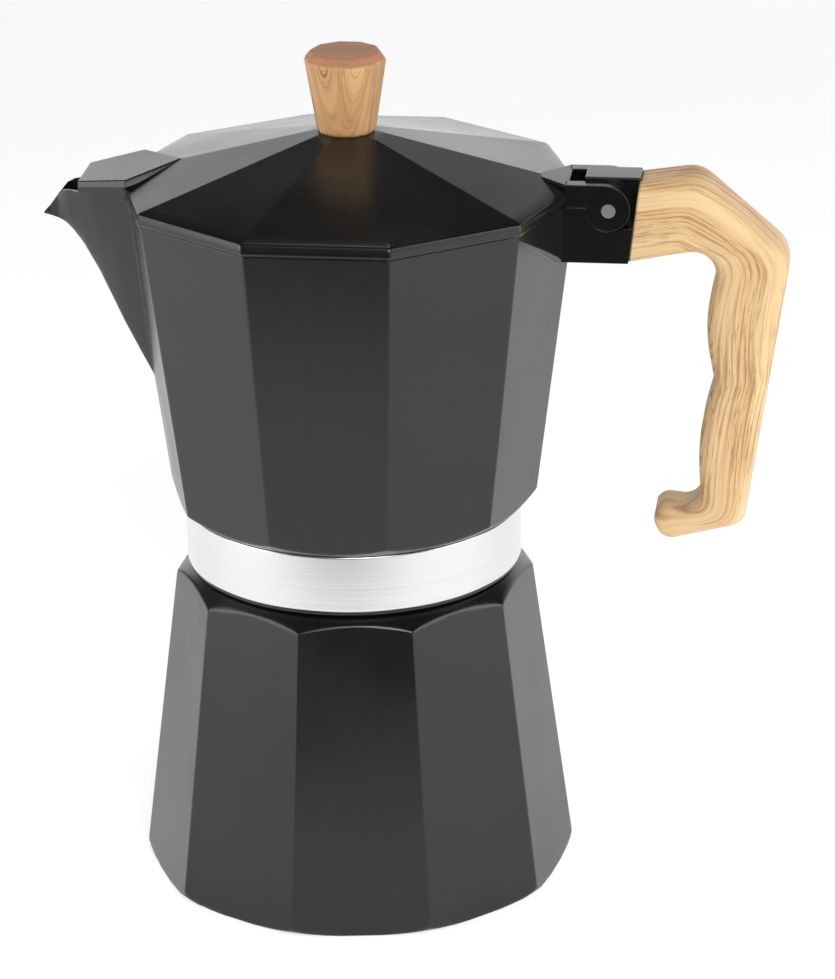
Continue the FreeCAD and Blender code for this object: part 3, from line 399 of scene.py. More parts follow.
def grid(name: str, points: Array, grain: Array = None) -> bpy.types.Object:
    """Join neighbouring points by quads; the last column meets the first.

    Rows that shrink to a point become poles when doubles are merged.

    Args:
        name: Name of the piece.
        points: Rows by columns by 3, in millimetres.
        grain: Optional map of rows by (columns + 1) by 2.

    Returns:
        The new object.
    """
    rows, columns = points.shape[:2]
    i, j = np.meshgrid(np.arange(rows - 1), np.arange(columns), indexing="ij")
    after = (j + 1) % columns
    quads = np.stack([i * columns + j, i * columns + after, (i + 1) * columns + after,
                      (i + 1) * columns + j], axis=-1).reshape(-1, 4)
    mesh = bpy.data.meshes.new(name)
    mesh.from_pydata((points.reshape(-1, 3) * MM).tolist(), [], quads.tolist())
    if grain is not None:
        layer = mesh.uv_layers.new(name=GRAIN_MAP)
        corners = np.stack([grain[i, j], grain[i, j + 1], grain[i + 1, j + 1], grain[i + 1, j]], axis=2)
        layer.data.foreach_set("uv", corners.reshape(-1).astype(np.float32))
    return close_and_show(name, mesh)


def close_and_show(name: str, mesh: bpy.types.Mesh) -> bpy.types.Object:
    """Merge doubles, turn the faces outwards and link the piece.

    Args:
        name: Name of the piece.
        mesh: Its mesh.

    Returns:
        The new object, at the origin.
    """
    work = bmesh.new()
    work.from_mesh(mesh)
    bmesh.ops.remove_doubles(work, verts=work.verts, dist=MERGE_GAP)
    bmesh.ops.dissolve_degenerate(work, edges=work.edges, dist=MERGE_GAP / 4)
    bmesh.ops.recalc_face_normals(work, faces=work.faces)
    work.to_mesh(mesh)
    work.free()
    mesh.polygons.foreach_set("use_smooth", np.ones(len(mesh.polygons), dtype=bool))
    made = bpy.data.objects.new(name, mesh)
    bpy.context.scene.collection.objects.link(made)
    return made


def soften(piece: bpy.types.Object, width: float = 0.0) -> bpy.types.Object:
    """Round the sharp edges and weigh the normals by face size.

    Args:
        piece: The object.
        width: Bevel width in millimetres, or 0 for none.

    Returns:
        The same object.
    """
    if width:
        bevel = piece.modifiers.new("edges", "BEVEL")
        bevel.width = width * MM
        bevel.segments = 3
        bevel.limit_method = "ANGLE"
        bevel.angle_limit = math.radians(28.0)
    weigh = piece.modifiers.new("normals", "WEIGHTED_NORMAL")
    weigh.keep_sharp = True
    return piece


def prism(name: str, low: Array, high: Array) -> bpy.types.Object:
    """Close two matching rings of points into a solid.

    Sides join ring to ring; each ring is capped by one flat face.

    Args:
        name: Name of the piece.
        low: First ring, points by 3, in millimetres.
        high: Second ring.

    Returns:
        The new object.
    """
    count = len(low)
    start = np.arange(count)
    after = (start + 1) % count
    sides = np.stack([start, after, after + count, start + count], axis=1)
    mesh = bpy.data.meshes.new(name)
    mesh.from_pydata((np.concatenate([low, high]) * MM).tolist(), [],
                     sides.tolist() + [start[::-1].tolist(), (start + count).tolist()])
    return close_and_show(name, mesh)


def slab(name: str, outline: Array, near: float, far: float) -> bpy.types.Object:
    """Carry an outline in the XZ plane along Y from near to far."""
    x, z = outline[:, 0], outline[:, 1]
    rings = [np.stack([x, np.full(len(x), y), z], axis=1) for y in (near, far)]
    return prism(name, *rings)


def level(plan: Array, height: float) -> Array:
    """Stand a plan at one height."""
    return np.column_stack([plan, np.full(len(plan), height)])


def rounded(corners: list, steps: int = 6) -> Array:
    """Round the corners of an open polyline.

    At each corner the path leaves one side, follows an arc of the given
    radius tangent to both sides, and joins the next.

    Args:
        corners: (x, y, radius) of each corner.
        steps: Segments of an arc.

    Returns:
        Points by 2.
    """
    spots = np.array([corner[:2] for corner in corners], dtype=float)
    path = []
    for index, (_, _, radius) in enumerate(corners):
        here = spots[index]
        if radius <= 0 or index in (0, len(corners) - 1):
            path.append(here[None, :])
            continue
        sides = (spots[index - 1] - here, spots[index + 1] - here)
        back, ahead = (side / np.linalg.norm(side) for side in sides)
        half = math.acos(float(np.clip(back @ ahead, -1, 1))) / 2
        middle = (back + ahead) / np.linalg.norm(back + ahead)
        centre = here + middle * radius / math.sin(half)
        first = here + back * radius / math.tan(half) - centre
        second = here + ahead * radius / math.tan(half) - centre
        share = np.linspace(0, 1, steps + 1)[:, None]
        sweep = math.pi - 2 * half
        path.append(centre + (np.sin((1 - share) * sweep) * first + np.sin(share * sweep) * second)
                    / max(math.sin(sweep), TINY))
    return np.concatenate(path)


def travel(path: Array) -> Array:
    """Give the distance along a path at each of its points."""
    return np.concatenate([[0], np.cumsum(np.linalg.norm(np.diff(path, axis=0), axis=1))])


def pick(path: Array, marks: Array) -> Array:
    """Give the points at some distances along a path."""
    return np.stack([np.interp(marks, travel(path), side) for side in path.T], axis=1)


def spread(path: Array, gap: float) -> Array:
    """Add points to a path wherever two are further apart than the gap."""
    length = travel(path)
    marks = np.unique(np.round(np.concatenate([length, np.arange(0, length[-1], gap)]), 5))
    return pick(path, marks[np.concatenate([[True], np.diff(marks) > gap / 8])])


def circle(count: int) -> Array:
    """Give directions evenly round a circle."""
    return np.arange(count) * 2 * math.pi / count


def facet_shape(angle: Array, count: int, turn: float, sharpness: float) -> Array:
    """Give the outline of a regular polygon of corner radius 1.

    The radius is cos(pi / n) over the power mean of the cosines between
    the direction and each side's normal, which rounds every corner.

    Args:
        angle: Directions in radians.
        count: Number of sides.
        turn: Direction of the first corner in radians.
        sharpness: Power of the mean; higher is sharper.

    Returns:
        The radius at each direction.
    """
    normals = turn + (np.arange(count) + 0.5) * 2 * math.pi / count
    cosines = np.clip(np.cos(angle[:, None] - normals[None, :]), TINY, None)
    return math.cos(math.pi / count) / (cosines ** sharpness).sum(axis=1) ** (1 / sharpness)


def directions(count: int, turn: float, extra: Array = None) -> Array:
    """Give directions round the axis, closer together near the corners."""
    offsets = np.radians([0, 0.10, 0.22, 0.36, 0.54, 0.78, 1.2, 2.2, 4.4, 8.0, 12.6, 180 / count])
    corners = turn + np.arange(count) * 2 * math.pi / count
    angles = (corners[:, None] + np.concatenate([-offsets, offsets])[None, :]).ravel()
    if extra is not None:
        angles = np.concatenate([angles, extra])
    angles = np.unique(np.round(np.mod(angles, 2 * math.pi), 6))
    return angles[np.concatenate([np.diff(angles) > 2e-5, [True]])]


def lesser(first: Array, second: Array, power: float = 240.0) -> Array:
    """Take the smaller of two radii, rounded where they cross."""
    base = np.minimum(first, second)
    return base * ((first / base) ** -power + (second / base) ** -power) ** (-1 / power)


class Shell:
    """Rows of points round the upright axis, joined into one mesh."""

    def __init__(self, angle: Array) -> None:
        """Start with no rows.

        Args:
            angle: Direction of each column in radians.
        """
        self.angle = angle
        self.radii: list = []
        self.heights: list = []

    def add(self, radius: Array, height: Array) -> None:
        """Add rows; each side is a number, a row, a column or a grid."""
        wide, tall, _ = np.broadcast_arrays(np.atleast_2d(radius), np.atleast_2d(height), self.angle[None, :])
        self.radii.append(wide)
        self.heights.append(tall)

    def trace(self, path: Array) -> None:
        """Add one row for each (radius, height) of a path."""
        self.add(path[:, :1], path[:, 1:])

    def join(self, name: str, grain: Array = None) -> bpy.types.Object:
        """Make the mesh of all rows."""
        radius, height = np.concatenate(self.radii), np.concatenate(self.heights)
        points = np.stack([radius * np.cos(self.angle), radius * np.sin(self.angle), height], axis=-1)
        return grid(name, points, grain)


def dress(piece: bpy.types.Object, finish: Finish, body: str, slot: str, *nodes: str) -> None:
    """Give a new piece its finish, the body it rides and the nodes it stands for.

    Args:
        piece: The object.
        finish: Its finish.
        body: The body it moves with.
        slot: A material slot's name; not used.
        nodes: CAD nodes it stands for, if any.
    """
    piece.data.materials.clear()
    piece.data.materials.append(finish.material())
    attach(piece, body)
    if nodes:
        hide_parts(*nodes)
    LOG.info("%s: %d faces, rides %s", piece.name, len(piece.data.polygons), body)


def coat(piece: bpy.types.Object, body: str, width: float, *nodes: str) -> None:
    """Soften a piece by a width and dress it in the black coat."""
    dress(soften(piece, width), Finish.COAT, body, "black_coat", *nodes)


# boiler


@dataclass
class Boiler:
    """Faceted lower vessel with its neck, thread and valve boss."""

    turn: float = math.radians(8.05)
    foot_radius: float = 52.8
    taper: float = 0.13208
    shoulder: tuple = (43.0, 74.2)
    shelf: tuple = (38.9, 77.3)
    # height and radius along the rounding of the foot
    foot: tuple = ((0.0, 49.6), (0.25, 50.6), (0.67, 51.36), (1.3, 51.95), (2.1, 52.42), (3.3, 52.75),
                   (4.62, 52.9), (5.5, 60.0))
    # share of the first row, inset and height, from the middle outwards
    underside: tuple = ((0, 0, 1.2), (0.90, 0, 1.2), (0.965, 0, 0.12), (1, 0.5, 0))
    wall: float = 2.6
    floor: float = 2.8
    ceiling: float = 71.6
    neck_radius: float = 34.2
    bore_radius: float = 31.2
    neck_top: float = 89.0
    thread_depth: float = 1.2
    thread_half: float = 0.9
    thread_flank: float = 0.5
    thread_start: float = 80.7
    thread_pitch: float = 3.0
    thread_turns: float = 2.0
    sharpness: float = 520.0
    boss_turn: float = math.radians(98.05)
    boss_height: float = 48.0
    boss_radius: float = 7.0
    boss_root: float = 40.5
    boss_face: float = 45.18

    def thread(self, angle: Array, height: Array) -> Array:
        """Give the thread's ridge on the neck.

        The ridge centre climbs one pitch a turn; its section is a trapezium.

        Args:
            angle: Direction of each column.
            height: Height of each row.

        Returns:
            Ridge height, rows by columns.
        """
        climb = (height - self.thread_start) / self.thread_pitch - angle / (2 * math.pi)
        turn = np.clip(np.round(climb), 0, self.thread_turns - 1)
        off = np.abs(climb - turn) * self.thread_pitch
        return self.thread_depth * np.clip((self.thread_half - off) / self.thread_flank, 0, 1)

    def outer_radius(self, shape: Array, height: Array) -> Array:
        """Cut the tapering facets by the shoulder cone and the foot rounding.

        Args:
            shape: Polygon outline of each column.
            height: Height of each row, as a column vector.

        Returns:
            Radius, rows by columns.
        """
        facets = (self.foot_radius - self.taper * height) * shape
        slope = (self.shelf[1] - self.shoulder[1]) / (self.shoulder[0] - self.shelf[0])
        cone = self.shelf[0] + (self.shelf[1] - height) / slope
        return lesser(lesser(facets, cone), np.interp(height, *zip(*self.foot)), 500.0)

    def build(self) -> None:
        """Build and dress the boiler."""
        shell = Shell(directions(FACETS, self.turn))
        shape = facet_shape(shell.angle, FACETS, self.turn, self.sharpness)
        shelf_radius, shelf = self.shelf
        rise = np.concatenate([[height for height, _ in self.foot], [8], np.linspace(12, 70, 16),
                               np.linspace(71, shelf - 0.25, 26)])[:, None]
        outer = self.outer_radius(shape, rise)
        for share, inset, height in self.underside:
            shell.add(outer[0] * share - inset, height)
        shell.add(outer, rise)
        shell.trace(rounded([(shelf_radius + 0.1, shelf - 0.12, 0), (shelf_radius - 0.3, shelf, 0.2),
                             (self.neck_radius, shelf, 0.6), (self.neck_radius, self.thread_start - 1.2, 0)]))
        neck = np.arange(self.thread_start - 1.15, self.neck_top - 0.8, 0.16)[:, None]
        shell.add(self.neck_radius + self.thread(shell.angle, neck), neck)
        shell.trace(rounded([
            (self.neck_radius, self.neck_top - 0.6, 0), (self.neck_radius, self.neck_top, 0.5),
            (self.bore_radius, self.neck_top, 0.5), (self.bore_radius, self.ceiling, 0)]))
        high, low = (self.foot_radius - self.taper * end - self.wall for end in (self.ceiling, self.floor))
        for radius, height in ((high, self.ceiling), (low, self.floor + 2),
                               (low - 2, self.floor), (0, self.floor)):
            shell.add(radius * shape, height)
        coat(shell.join("boiler_shell"), "boiler_assembly", 0.0, "boiler")
        self.build_boss()

    def build_boss(self) -> None:
        """Build the round boss that the valve is screwed into."""
        root, face, radius = self.boss_root, self.boss_face, self.boss_radius
        path = rounded([(0.0, root, 0), (radius + 0.8, root, 0), (radius, face - 1.6, 1.2),
                        (radius, face, 0.5), (2.6, face, 0.3), (2.6, root + 0.5, 0), (0.0, root + 0.5, 0)])
        around = circle(96)
        side, up = path[:, :1] * np.cos(around), self.boss_height + path[:, :1] * np.sin(around)
        out = path[:, 1:] + 0 * around
        cos, sin = math.cos(self.boss_turn), math.sin(self.boss_turn)
        boss = grid("valve_boss", np.stack([out * cos - side * sin, out * sin + side * cos, up], axis=-1))
        coat(boss, "boiler_assembly", 0.0)


# upper vessel


@dataclass
class UpperVessel:
    """Upper vessel: collar, flaring facets, pouring spout and hinge bracket."""

    belly: tuple = (44.2, 96.0)
    rim: tuple = (53.66, 169.15)
    wall: float = 2.2
    floor: float = 96.45
    collar_radius: float = 39.6
    collar_foot: float = 77.7
    band_radius: float = 40.16
    band_top: float = 93.0
    sharpness: float = 520.0
    # spout stations: x, keel, half width, lip, floor over the keel
    stations: tuple = (
        (44.06, 115.15, 14.4, 169.15, 2.6), (50.46, 127.75, 12.0, 169.15, 2.6),
        (54.16, 135.35, 10.6, 169.15, 2.6),
        (59.66, 147.95, 8.5, 169.15, 2.6), (63.36, 154.9, 6.5, 169.15, 2.6), (65.9, 158.3, 4.9, 169.0, 2.2),
        (67.3, 159.75, 3.5, 168.5, 1.9), (69.0, 160.65, 1.0, 166.5, 1.6), (70.9, 161.3, 0.28, 163.9, 1.1),
        (72.46, 161.65, 0.16, 162.15, 0.5))
    spout_wall: float = 1.4
    lip_round: float = 0.45
    # how bowed the section is, by distance from the axis
    bow_at: tuple = (52.0, 57.0, 61.0, 65.0, 67.5, 70.0)
    bow_share: tuple = (0.035, 0.06, 0.16, 0.5, 1.1, 2.0)
    spout_sector: float = math.radians(24)
    block_back: float = 51.1
    block_low: float = 155.6
    block_high: float = 168.81
    block_end: float = 4.6
    block_lean: float = 0.1276
    block_step: float = 4.2
    block_root: float = 2.2
    # ear pocket: degrees below the pin's level and radius, closer towards the inner side
    pocket: tuple = ((51.9, 5.34), (56.0, 5.30), (70.0, 5.17), (80.0, 5.10), (92.0, 5.06))
    pocket_end: float = 186.2
    tongue_half: float = 4.45
    tongue_back: float = 5.75
    tongue_rise: float = 6.94
    band_bore: float = 39.61
    band_foot: float = 79.0
    band_head: float = 93.0

    def corner_radius(self, height: Array) -> Array:
        """Give the corner radius of the facets at a height."""
        (low, start), (high, end) = self.belly, self.rim
        return low + (high - low) * (height - start) / (end - start)

    def spout_radius(self, angle: Array, height: Array, inside: bool) -> Array:
        """Find how far the spout reaches in each direction at each height.

        The spout's section at a distance x is a triangle from the keel to
        the two lips. The reach solves half width times (height - keel) over
        (lip - keel) = offset from the middle, by halving an interval.

        Args:
            angle: Directions, rows by columns.
            height: Heights, rows by columns.
            inside: Measure the channel instead of the outside.

        Returns:
            The reach, or 0 where there is no spout.
        """
        x, keel, half, lip, base = np.array(self.stations).T
        if inside:
            keel, half, lip = keel + base, self.channel_half(half), lip + 1.0
        off = angle - math.pi
        wide = np.abs(off) < self.spout_sector
        slope = np.tan(np.where(wide, np.abs(off), 0.0))

        def spare(reach: Array) -> Array:
            """Half width at the height less the offset of the ray."""
            low, high, width = (np.interp(reach, x, column) for column in (keel, lip, half))
            share = np.clip((height - low) / (high - low), -1.0, 1.0)
            round_share = np.interp(reach, self.bow_at, self.bow_share)
            bow = np.sqrt(np.maximum(share, 0) * (share + 2 * round_share) / (1 + 2 * round_share))
            return width * np.where(share > 0, bow, share) - reach * slope

        near = np.full(height.shape, x[0])
        far = np.full(height.shape, x[-1] + (1.0 if inside else 0.0))
        none = spare(near) < 0
        full = spare(far) > 0
        for _ in range(40):
            middle = (near + far) / 2
            ahead = spare(middle) > 0
            near, far = np.where(ahead, middle, near), np.where(ahead, far, middle)
        reach = np.where(full, far, near) * np.sqrt(1 + slope ** 2)
        return np.where(wide & ~none, reach, 0.0)

    def rim_height(self, angle: Array, inside: bool = False) -> Array:
        """Give the height of the rim, which falls along the spout's lip.

        Args:
            angle: Directions of the columns.
            inside: Follow the channel's lip instead of the outside's.

        Returns:
            The height for each direction.
        """
        x, _, half, lip, _ = np.array(self.stations).T
        off = np.abs(angle - math.pi)
        bearing = np.arctan2(self.channel_half(half) if inside else half, x)[::-1]
        return np.interp(off, bearing, lip[::-1])

    def channel_half(self, half: Array) -> Array:
        """Give the channel's half width: the outside's less a wall that thins at the tip."""
        return half ** 2 / (half + self.spout_wall)

    def outside(self, angle: Array, shape: Array, height: Array) -> Array:
        """Join facets and spout: the larger radius in each direction."""
        facets = self.corner_radius(height) * shape
        return np.maximum(facets, self.spout_radius(angle + 0 * height, height, False))

    def lip(self, angle: Array) -> Array:
        """Give the rounding of the rim, finer towards the spout's tip."""
        off = np.degrees(np.abs(angle - math.pi))
        return np.interp(off, [4.0, 14.0], [0.06, self.lip_round])

    def flank(self, angle: Array) -> tuple:
        """Give the bracket's flank: its reach and the height of its lower edge.

        In plan the flank is a straight line from the block's edge to the
        rim corner; its lower edge climbs evenly along that line.

        Args:
            angle: Directions of the columns.

        Returns:
            Reach and lower edge height for each direction.
        """
        off = np.abs((angle + math.pi) % (2 * math.pi) - math.pi)
        start = np.array([self.block_back, FORK_HALF])
        corner = self.rim[0] * np.array([math.cos(FACET_STEP), math.sin(FACET_STEP)])
        run = corner - start
        ray = np.stack([np.cos(off), np.sin(off)])
        along = (start[1] * ray[0] - start[0] * ray[1]) / (run[0] * ray[1] - run[1] * ray[0])
        reach = np.where(off < math.atan2(start[1], start[0]), self.block_back / np.cos(off),
                         np.hypot(start[0] + along * run[0], start[1] + along * run[1]))
        share = np.clip(along, 0, 1)
        edge = self.block_low + share * (self.block_high - 0.7 - self.block_low)
        away = np.interp(off, [0, FACET_STEP, FACET_STEP * 1.5, math.pi], [0, 0, 1, 1])
        edge = edge * (1 - away) + 160.0 * away
        return np.where(off < FACET_STEP, reach, 0.0), edge

    def add_skin(self, shell: Shell, shape: Array) -> Array:
        """Add the outer skin, from the collar's foot to the rim.

        Args:
            shell: The rows so far.
            shape: Polygon outline of the columns.

        Returns:
            Radius of the last row.
        """
        foot, collar, waist = self.collar_foot, self.collar_radius, self.collar_radius - 0.12
        shell.trace(rounded([(35.9, foot, 0), (collar - 0.5, foot, 0.2), (collar, foot + 0.5, 0.2),
                             (collar, 78.9, 0.1), (waist, 79.2, 0), (waist, self.band_top - 0.05, 0)]))
        low = np.linspace(self.band_top + 0.06, 97.6, 26)[:, None]
        start = self.band_top + 0.05
        cone = self.band_radius + (low - start) * (self.belly[0] - self.band_radius) / (self.belly[1] - start)
        shell.add(lesser(self.corner_radius(low) * shape, cone), low)
        reach, edge = self.flank(shell.angle)
        top = self.rim_height(shell.angle)
        lower = np.concatenate([np.linspace(0, 0.35, 8), np.linspace(0.38, 1, 44)])[:, None]
        first = 98.0 + lower * (edge - 0.02 - 98.0)
        upper = np.concatenate([[0.0, 0.03], 1 - np.linspace(0.93 ** 0.6, 0, 34) ** (1 / 0.6)])[:, None]
        second = edge + upper * (top - self.lip(shell.angle) - edge)
        height = np.concatenate([first, second])
        radius = self.outside(shell.angle, shape, height)
        # the flank counts above its lower edge only, where its corner is rounded
        tuck = np.concatenate([np.full((len(first), 1), 99.0),
                               np.interp(upper, [0, 0.03, 0.07, 0.11], [0.45, 0.13, 0.0, 0.0])])
        radius = np.maximum(radius, np.where(reach > 0, reach - tuck, 0.0))
        shell.add(radius, height)
        return radius[-1]

    def add_inside(self, shell: Shell, shape: Array, outer: Array) -> None:
        """Add the rim and the inner skin, down to the floor.

        Args:
            shell: The rows so far.
            shape: Polygon outline of the columns.
            outer: Radius of the last outer row.
        """
        angle = shell.angle
        top, top_in = self.rim_height(angle), self.rim_height(angle, True)
        inset = self.wall / math.cos(math.pi / FACETS)
        fall = (np.linspace(0, 1, 56) ** 1.7)[:, None]
        curl = self.lip(angle)
        height = (top_in - curl) * (1 - fall) + self.floor * fall
        inner = (self.corner_radius(height) - inset) * shape
        inner = np.maximum(inner, self.spout_radius(angle + 0 * height, height, True))
        inner = np.minimum(inner, self.outside(angle, shape, height) - 0.7)
        turn = np.radians([25.0, 55.0, 90.0])[:, None]
        shell.add(outer - curl * (1 - np.cos(turn)), top - curl + curl * np.sin(turn))
        turn = turn[::-1]
        shell.add(inner[0] + curl * (1 - np.cos(turn)), top_in - curl + curl * np.sin(turn))
        shell.add(inner, height)

    def add_column(self, shell: Shell) -> None:
        """Add the floor's cone and the column with its two slots and its cap."""
        path = spread(rounded([
            (30.0, self.floor, 0), (21.5, self.floor + 0.02, 3.0), (8.0, self.floor + 5.0, 4.0),
            (5.6, 146.95, 0.6), (3.6, 149.15, 0.6), (0.0, 149.15, 0)], steps=5), 0.7)
        radius, height = path[:, :1], path[:, 1:]
        slot = (np.abs(radius * np.cos(shell.angle)) < 1.5) & (height > 140.0) & (height < 145.0)
        shell.add(np.where(slot, 3.4, radius), height)

    def build(self) -> None:
        """Build and dress the vessel, its bracket and the steel band."""
        spout = [np.linspace(-reach, reach, count) for reach, count in ((20, 161), (5, 83), (1, 41))]
        sides = np.radians([9.0, 9.17, 9.3, 60, 75, 82, 85, 88, 90, 92, 95, 98, 105, 120])
        bracket = np.radians(np.linspace(-37, 37, 75))
        extra = np.concatenate([math.pi + np.radians(np.concatenate(spout)), bracket, sides, -sides])
        shell = Shell(directions(FACETS, 0.0, extra))
        shape = facet_shape(shell.angle, FACETS, 0.0, self.sharpness)
        shell.trace(rounded([(0.0, 146.0, 0), (3.1, 146.0, 0.5), (3.1, 101.0, 1.0), (7.0, 93.45, 0.8),
                             (33.7, 93.45, 0), (33.7, 89.4, 0), (35.75, 89.4, 0.2),
                             (35.75, self.collar_foot, 0)]))
        self.add_inside(shell, shape, self.add_skin(shell, shape))
        self.add_column(shell)
        coat(shell.join("vessel_shell"), "upper_assembly", 0.0, "upper_vessel")
        self.build_bracket()
        self.build_band()

    def build_bracket(self) -> None:
        """Build the hinge block with its ear pockets, and the tongue."""
        x, z = PIN
        end, lean, low = x + self.block_end, self.block_lean, self.block_low
        step = z - self.block_step
        root, left, top = self.block_back - self.block_root, x - self.tongue_back, z + self.tongue_rise
        sweep = np.linspace(-self.pocket[0][0], -self.pocket_end, 28)
        pocket = np.interp(-sweep, *zip(*self.pocket))
        sweep = np.radians(sweep)
        bowl = np.stack([x + pocket * np.cos(sweep), z + pocket * np.sin(sweep)], axis=1)
        block = np.concatenate([[[root, low], [end, low], [end + lean * (step - low), step]], bowl,
                                [[root, self.block_high]]])
        tongue = np.array([[left, low + 2], [end + lean * 2, low + 2], [end + lean * 19.6, top], [left, top]])
        for name, outline, half, width in (("block", block, FORK_HALF, 0.12),
                                           ("tongue", tongue, self.tongue_half, 0.4)):
            coat(slab(name, outline, -half, half), "upper_assembly", width, "upper_vessel")

    def build_band(self) -> None:
        """Build the polished band round the collar."""
        bore, wide, low, high = self.band_bore, self.band_radius, self.band_foot, self.band_head
        ring = Shell(circle(240))
        ring.trace(spread(rounded([
            (bore, low, 0), (wide - 0.05, low, 0.12), (wide, low + 0.4, 0.3), (wide, high - 0.4, 0.3),
            (wide - 0.05, high, 0.12), (bore, high, 0), (bore, low, 0)]), 0.6))
        dress(soften(ring.join("steel_band")), Finish.BAND, "upper_assembly", "band_steel", "collar_band")


# lid


@dataclass
class Lid:
    """Faceted lid with spout cover, hinge fork and knob."""

    radius: float = 54.38
    foot: float = 169.25
    edge: float = 172.2
    seat_radius: float = 7.0
    seat: float = 183.85
    side_wall: float = 2.4
    wall: float = 1.9
    web: float = 52.4
    sharpness: float = 700.0
    fork_top: float = 174.3
    fork_low: float = 170.6
    fork_tip: float = 18.6
    fork_corner: float = 0.9
    slot_half: float = 4.55
    ear_radius: float = 5.0
    ear_round: float = 5.8
    ear_gap: float = 0.60
    cover: tuple = ((-39.0, 0.0), (-50.2, -12.6), (-62.6, -7.6), (-62.6, 7.6), (-50.2, 12.6))
    cover_high: float = 176.10
    cover_fall: float = 3.8 / 22.5
    cover_wall: float = 1.8
    cover_flare: tuple = ((1.1, 0.0), (0.35, -0.85), (0.0, 0.0), (0.0, 0.0), (0.35, 0.85))
    knob_sides: int = 10
    knob_foot: tuple = (6.9, 183.86)
    knob_brow: tuple = (9.7, 201.06)
    knob_crown: tuple = (8.1, 202.96)
    knob_wrap: float = 8.5
    screw_bore: float = 1.9

    def cover_top(self, x: Array) -> Array:
        """Give the height of the cover's sloping top."""
        return self.cover_high - (self.cover[0][0] - x) * self.cover_fall

    def slope(self) -> float:
        """Give the fall of the roof's corners."""
        return (self.seat - self.edge) / (self.radius - self.seat_radius)

    def build_roof(self) -> None:
        """Build the roof: skirt, pyramid and the hollow underneath.

        Each row is a polygon of its own corner radius; the slot of the
        fork cuts it by an upright plane, and the skirt is raised where
        the spout runs out beneath it.
        """
        inner, ceiling = self.radius - self.side_wall, self.seat - self.wall
        path = spread(rounded([
            (inner, self.foot, 0), (self.radius, self.foot, 0.25), (self.radius, self.edge, 0.5),
            (self.seat_radius, self.seat, 0.6), (self.screw_bore, self.seat, 0.1),
            (self.screw_bore, ceiling, 0.1), (self.seat_radius, ceiling, 1.5),
            (inner, self.edge + self.slope() * self.side_wall - self.wall, 0.6), (inner, self.foot, 0)]), 3.0)
        extra = np.radians(np.concatenate([np.linspace(-9, 9, 37), 180 + np.linspace(-16, 16, 41)]))
        shell = Shell(directions(FACETS, 0.0, extra))
        angle, height = shell.angle, path[:, 1:]
        shape = facet_shape(angle, FACETS, 0.0, self.sharpness)
        radius = path[:, :1] * np.where(path[:, :1] > self.seat_radius - 0.5, shape, 1.0)
        near_fork = np.cos(angle) > math.cos(math.radians(12))
        radius = np.where(near_fork, np.minimum(radius, self.web / np.maximum(np.cos(angle), 0.1)), radius)
        lift = 2.4 * np.clip((0.19 - np.abs(angle - math.pi)) / 0.02, 0, 1)
        shell.add(radius, height + np.where(height < self.foot + 0.4, lift, 0.0))
        coat(shell.join("lid_roof"), "lid_assembly", 0.0, "lid")

    def build_cover(self) -> None:
        """Build the arrow-shaped cover over the spout, open at its end."""
        plan = np.array(self.cover)
        top = np.column_stack([plan, self.cover_top(plan[:, 0])])
        under = np.column_stack([plan + np.array(self.cover_flare), top[:, 2] - self.cover_wall])
        coat(prism("spout_cover", under, top), "lid_assembly", 0.35, "lid")
        for name, side, wide, end in (("cover_cheek_front", -1, plan[1], plan[2]),
                                      ("cover_cheek_back", 1, plan[4], plan[3])):
            run = (end - wide) / np.linalg.norm(end - wide)
            inward = np.array([-run[1], run[0]]) * side * self.cover_wall
            ring = np.array([wide, end, end + inward, wide + inward])
            high = np.column_stack([ring, self.cover_top(ring[:, 0]) - 0.5])
            coat(prism(name, level(ring, self.foot), high), "lid_assembly", 0.2, "lid")

    def build_fork(self) -> None:
        """Build the wedge that leads into the fork, and its two ears."""
        x, z = PIN
        web, top, reach = self.web, self.fork_top, self.ear_radius
        root = web - self.fork_corner
        plan = np.array([[x - self.fork_tip, 0], [root, -FORK_HALF], [web, -FORK_HALF], [web, FORK_HALF],
                         [root, FORK_HALF]])
        coat(prism("fork_wedge", level(plan, self.fork_low), level(plan, top)), "lid_assembly", 0.5, "lid")
        around = np.linspace(math.pi - math.asin(self.ear_gap / reach), 2 * math.pi, 30)
        lobe = np.stack([x + reach * np.cos(around), z + reach * np.sin(around)], axis=1)
        crown = np.linspace(0, math.pi / 2, 14)
        centre = np.array([x + reach - self.ear_round, top - self.ear_round])
        brow = centre + self.ear_round * np.stack([np.cos(crown), np.sin(crown)], axis=1)
        outline = np.concatenate([[[root, z + self.ear_gap]], lobe, brow, [[root, top]]])
        for name, near, far in (("ear_front", -FORK_HALF, -self.slot_half),
                                ("ear_back", self.slot_half, FORK_HALF)):
            coat(slab(name, outline, near, far), "lid_assembly", 0.22, "lid")

    def build_painted_shadow(self) -> None:
        """Lay a thin dark line in the joint between cover and roof, as painted shadow of the groove there."""
        for side, name in ((-1, "painted_shadow_front"), (1, "painted_shadow_back")):
            share = np.linspace(0, 1, 24)
            x = -50.6 + share * 11.0
            y = side * (12.9 - share * 12.4)
            shape = facet_shape(np.arctan2(y, x), FACETS, 0.0, self.sharpness)
            z = self.edge + self.slope() * (self.radius - np.hypot(x, y) / shape)
            thick = 0.34 * np.sin(math.pi * np.clip(share * 0.96 + 0.02, 0, 1)) ** 0.3
            around = circle(10)
            ring = np.stack([0 * around, np.cos(around), np.sin(around)], axis=-1)
            line = np.stack([x, y, z], axis=-1)[:, None, :] + ring[None, :, :] * thick[:, None, None]
            ends = line.mean(axis=1, keepdims=True) + 0 * line
            # the strip is painted shadow, not a part of the lid
            shadow_strip = grid(name, np.concatenate([ends[:1], line, ends[-1:]]))
            dress(shadow_strip, Finish.SEAM, "lid_assembly", "black_coat")

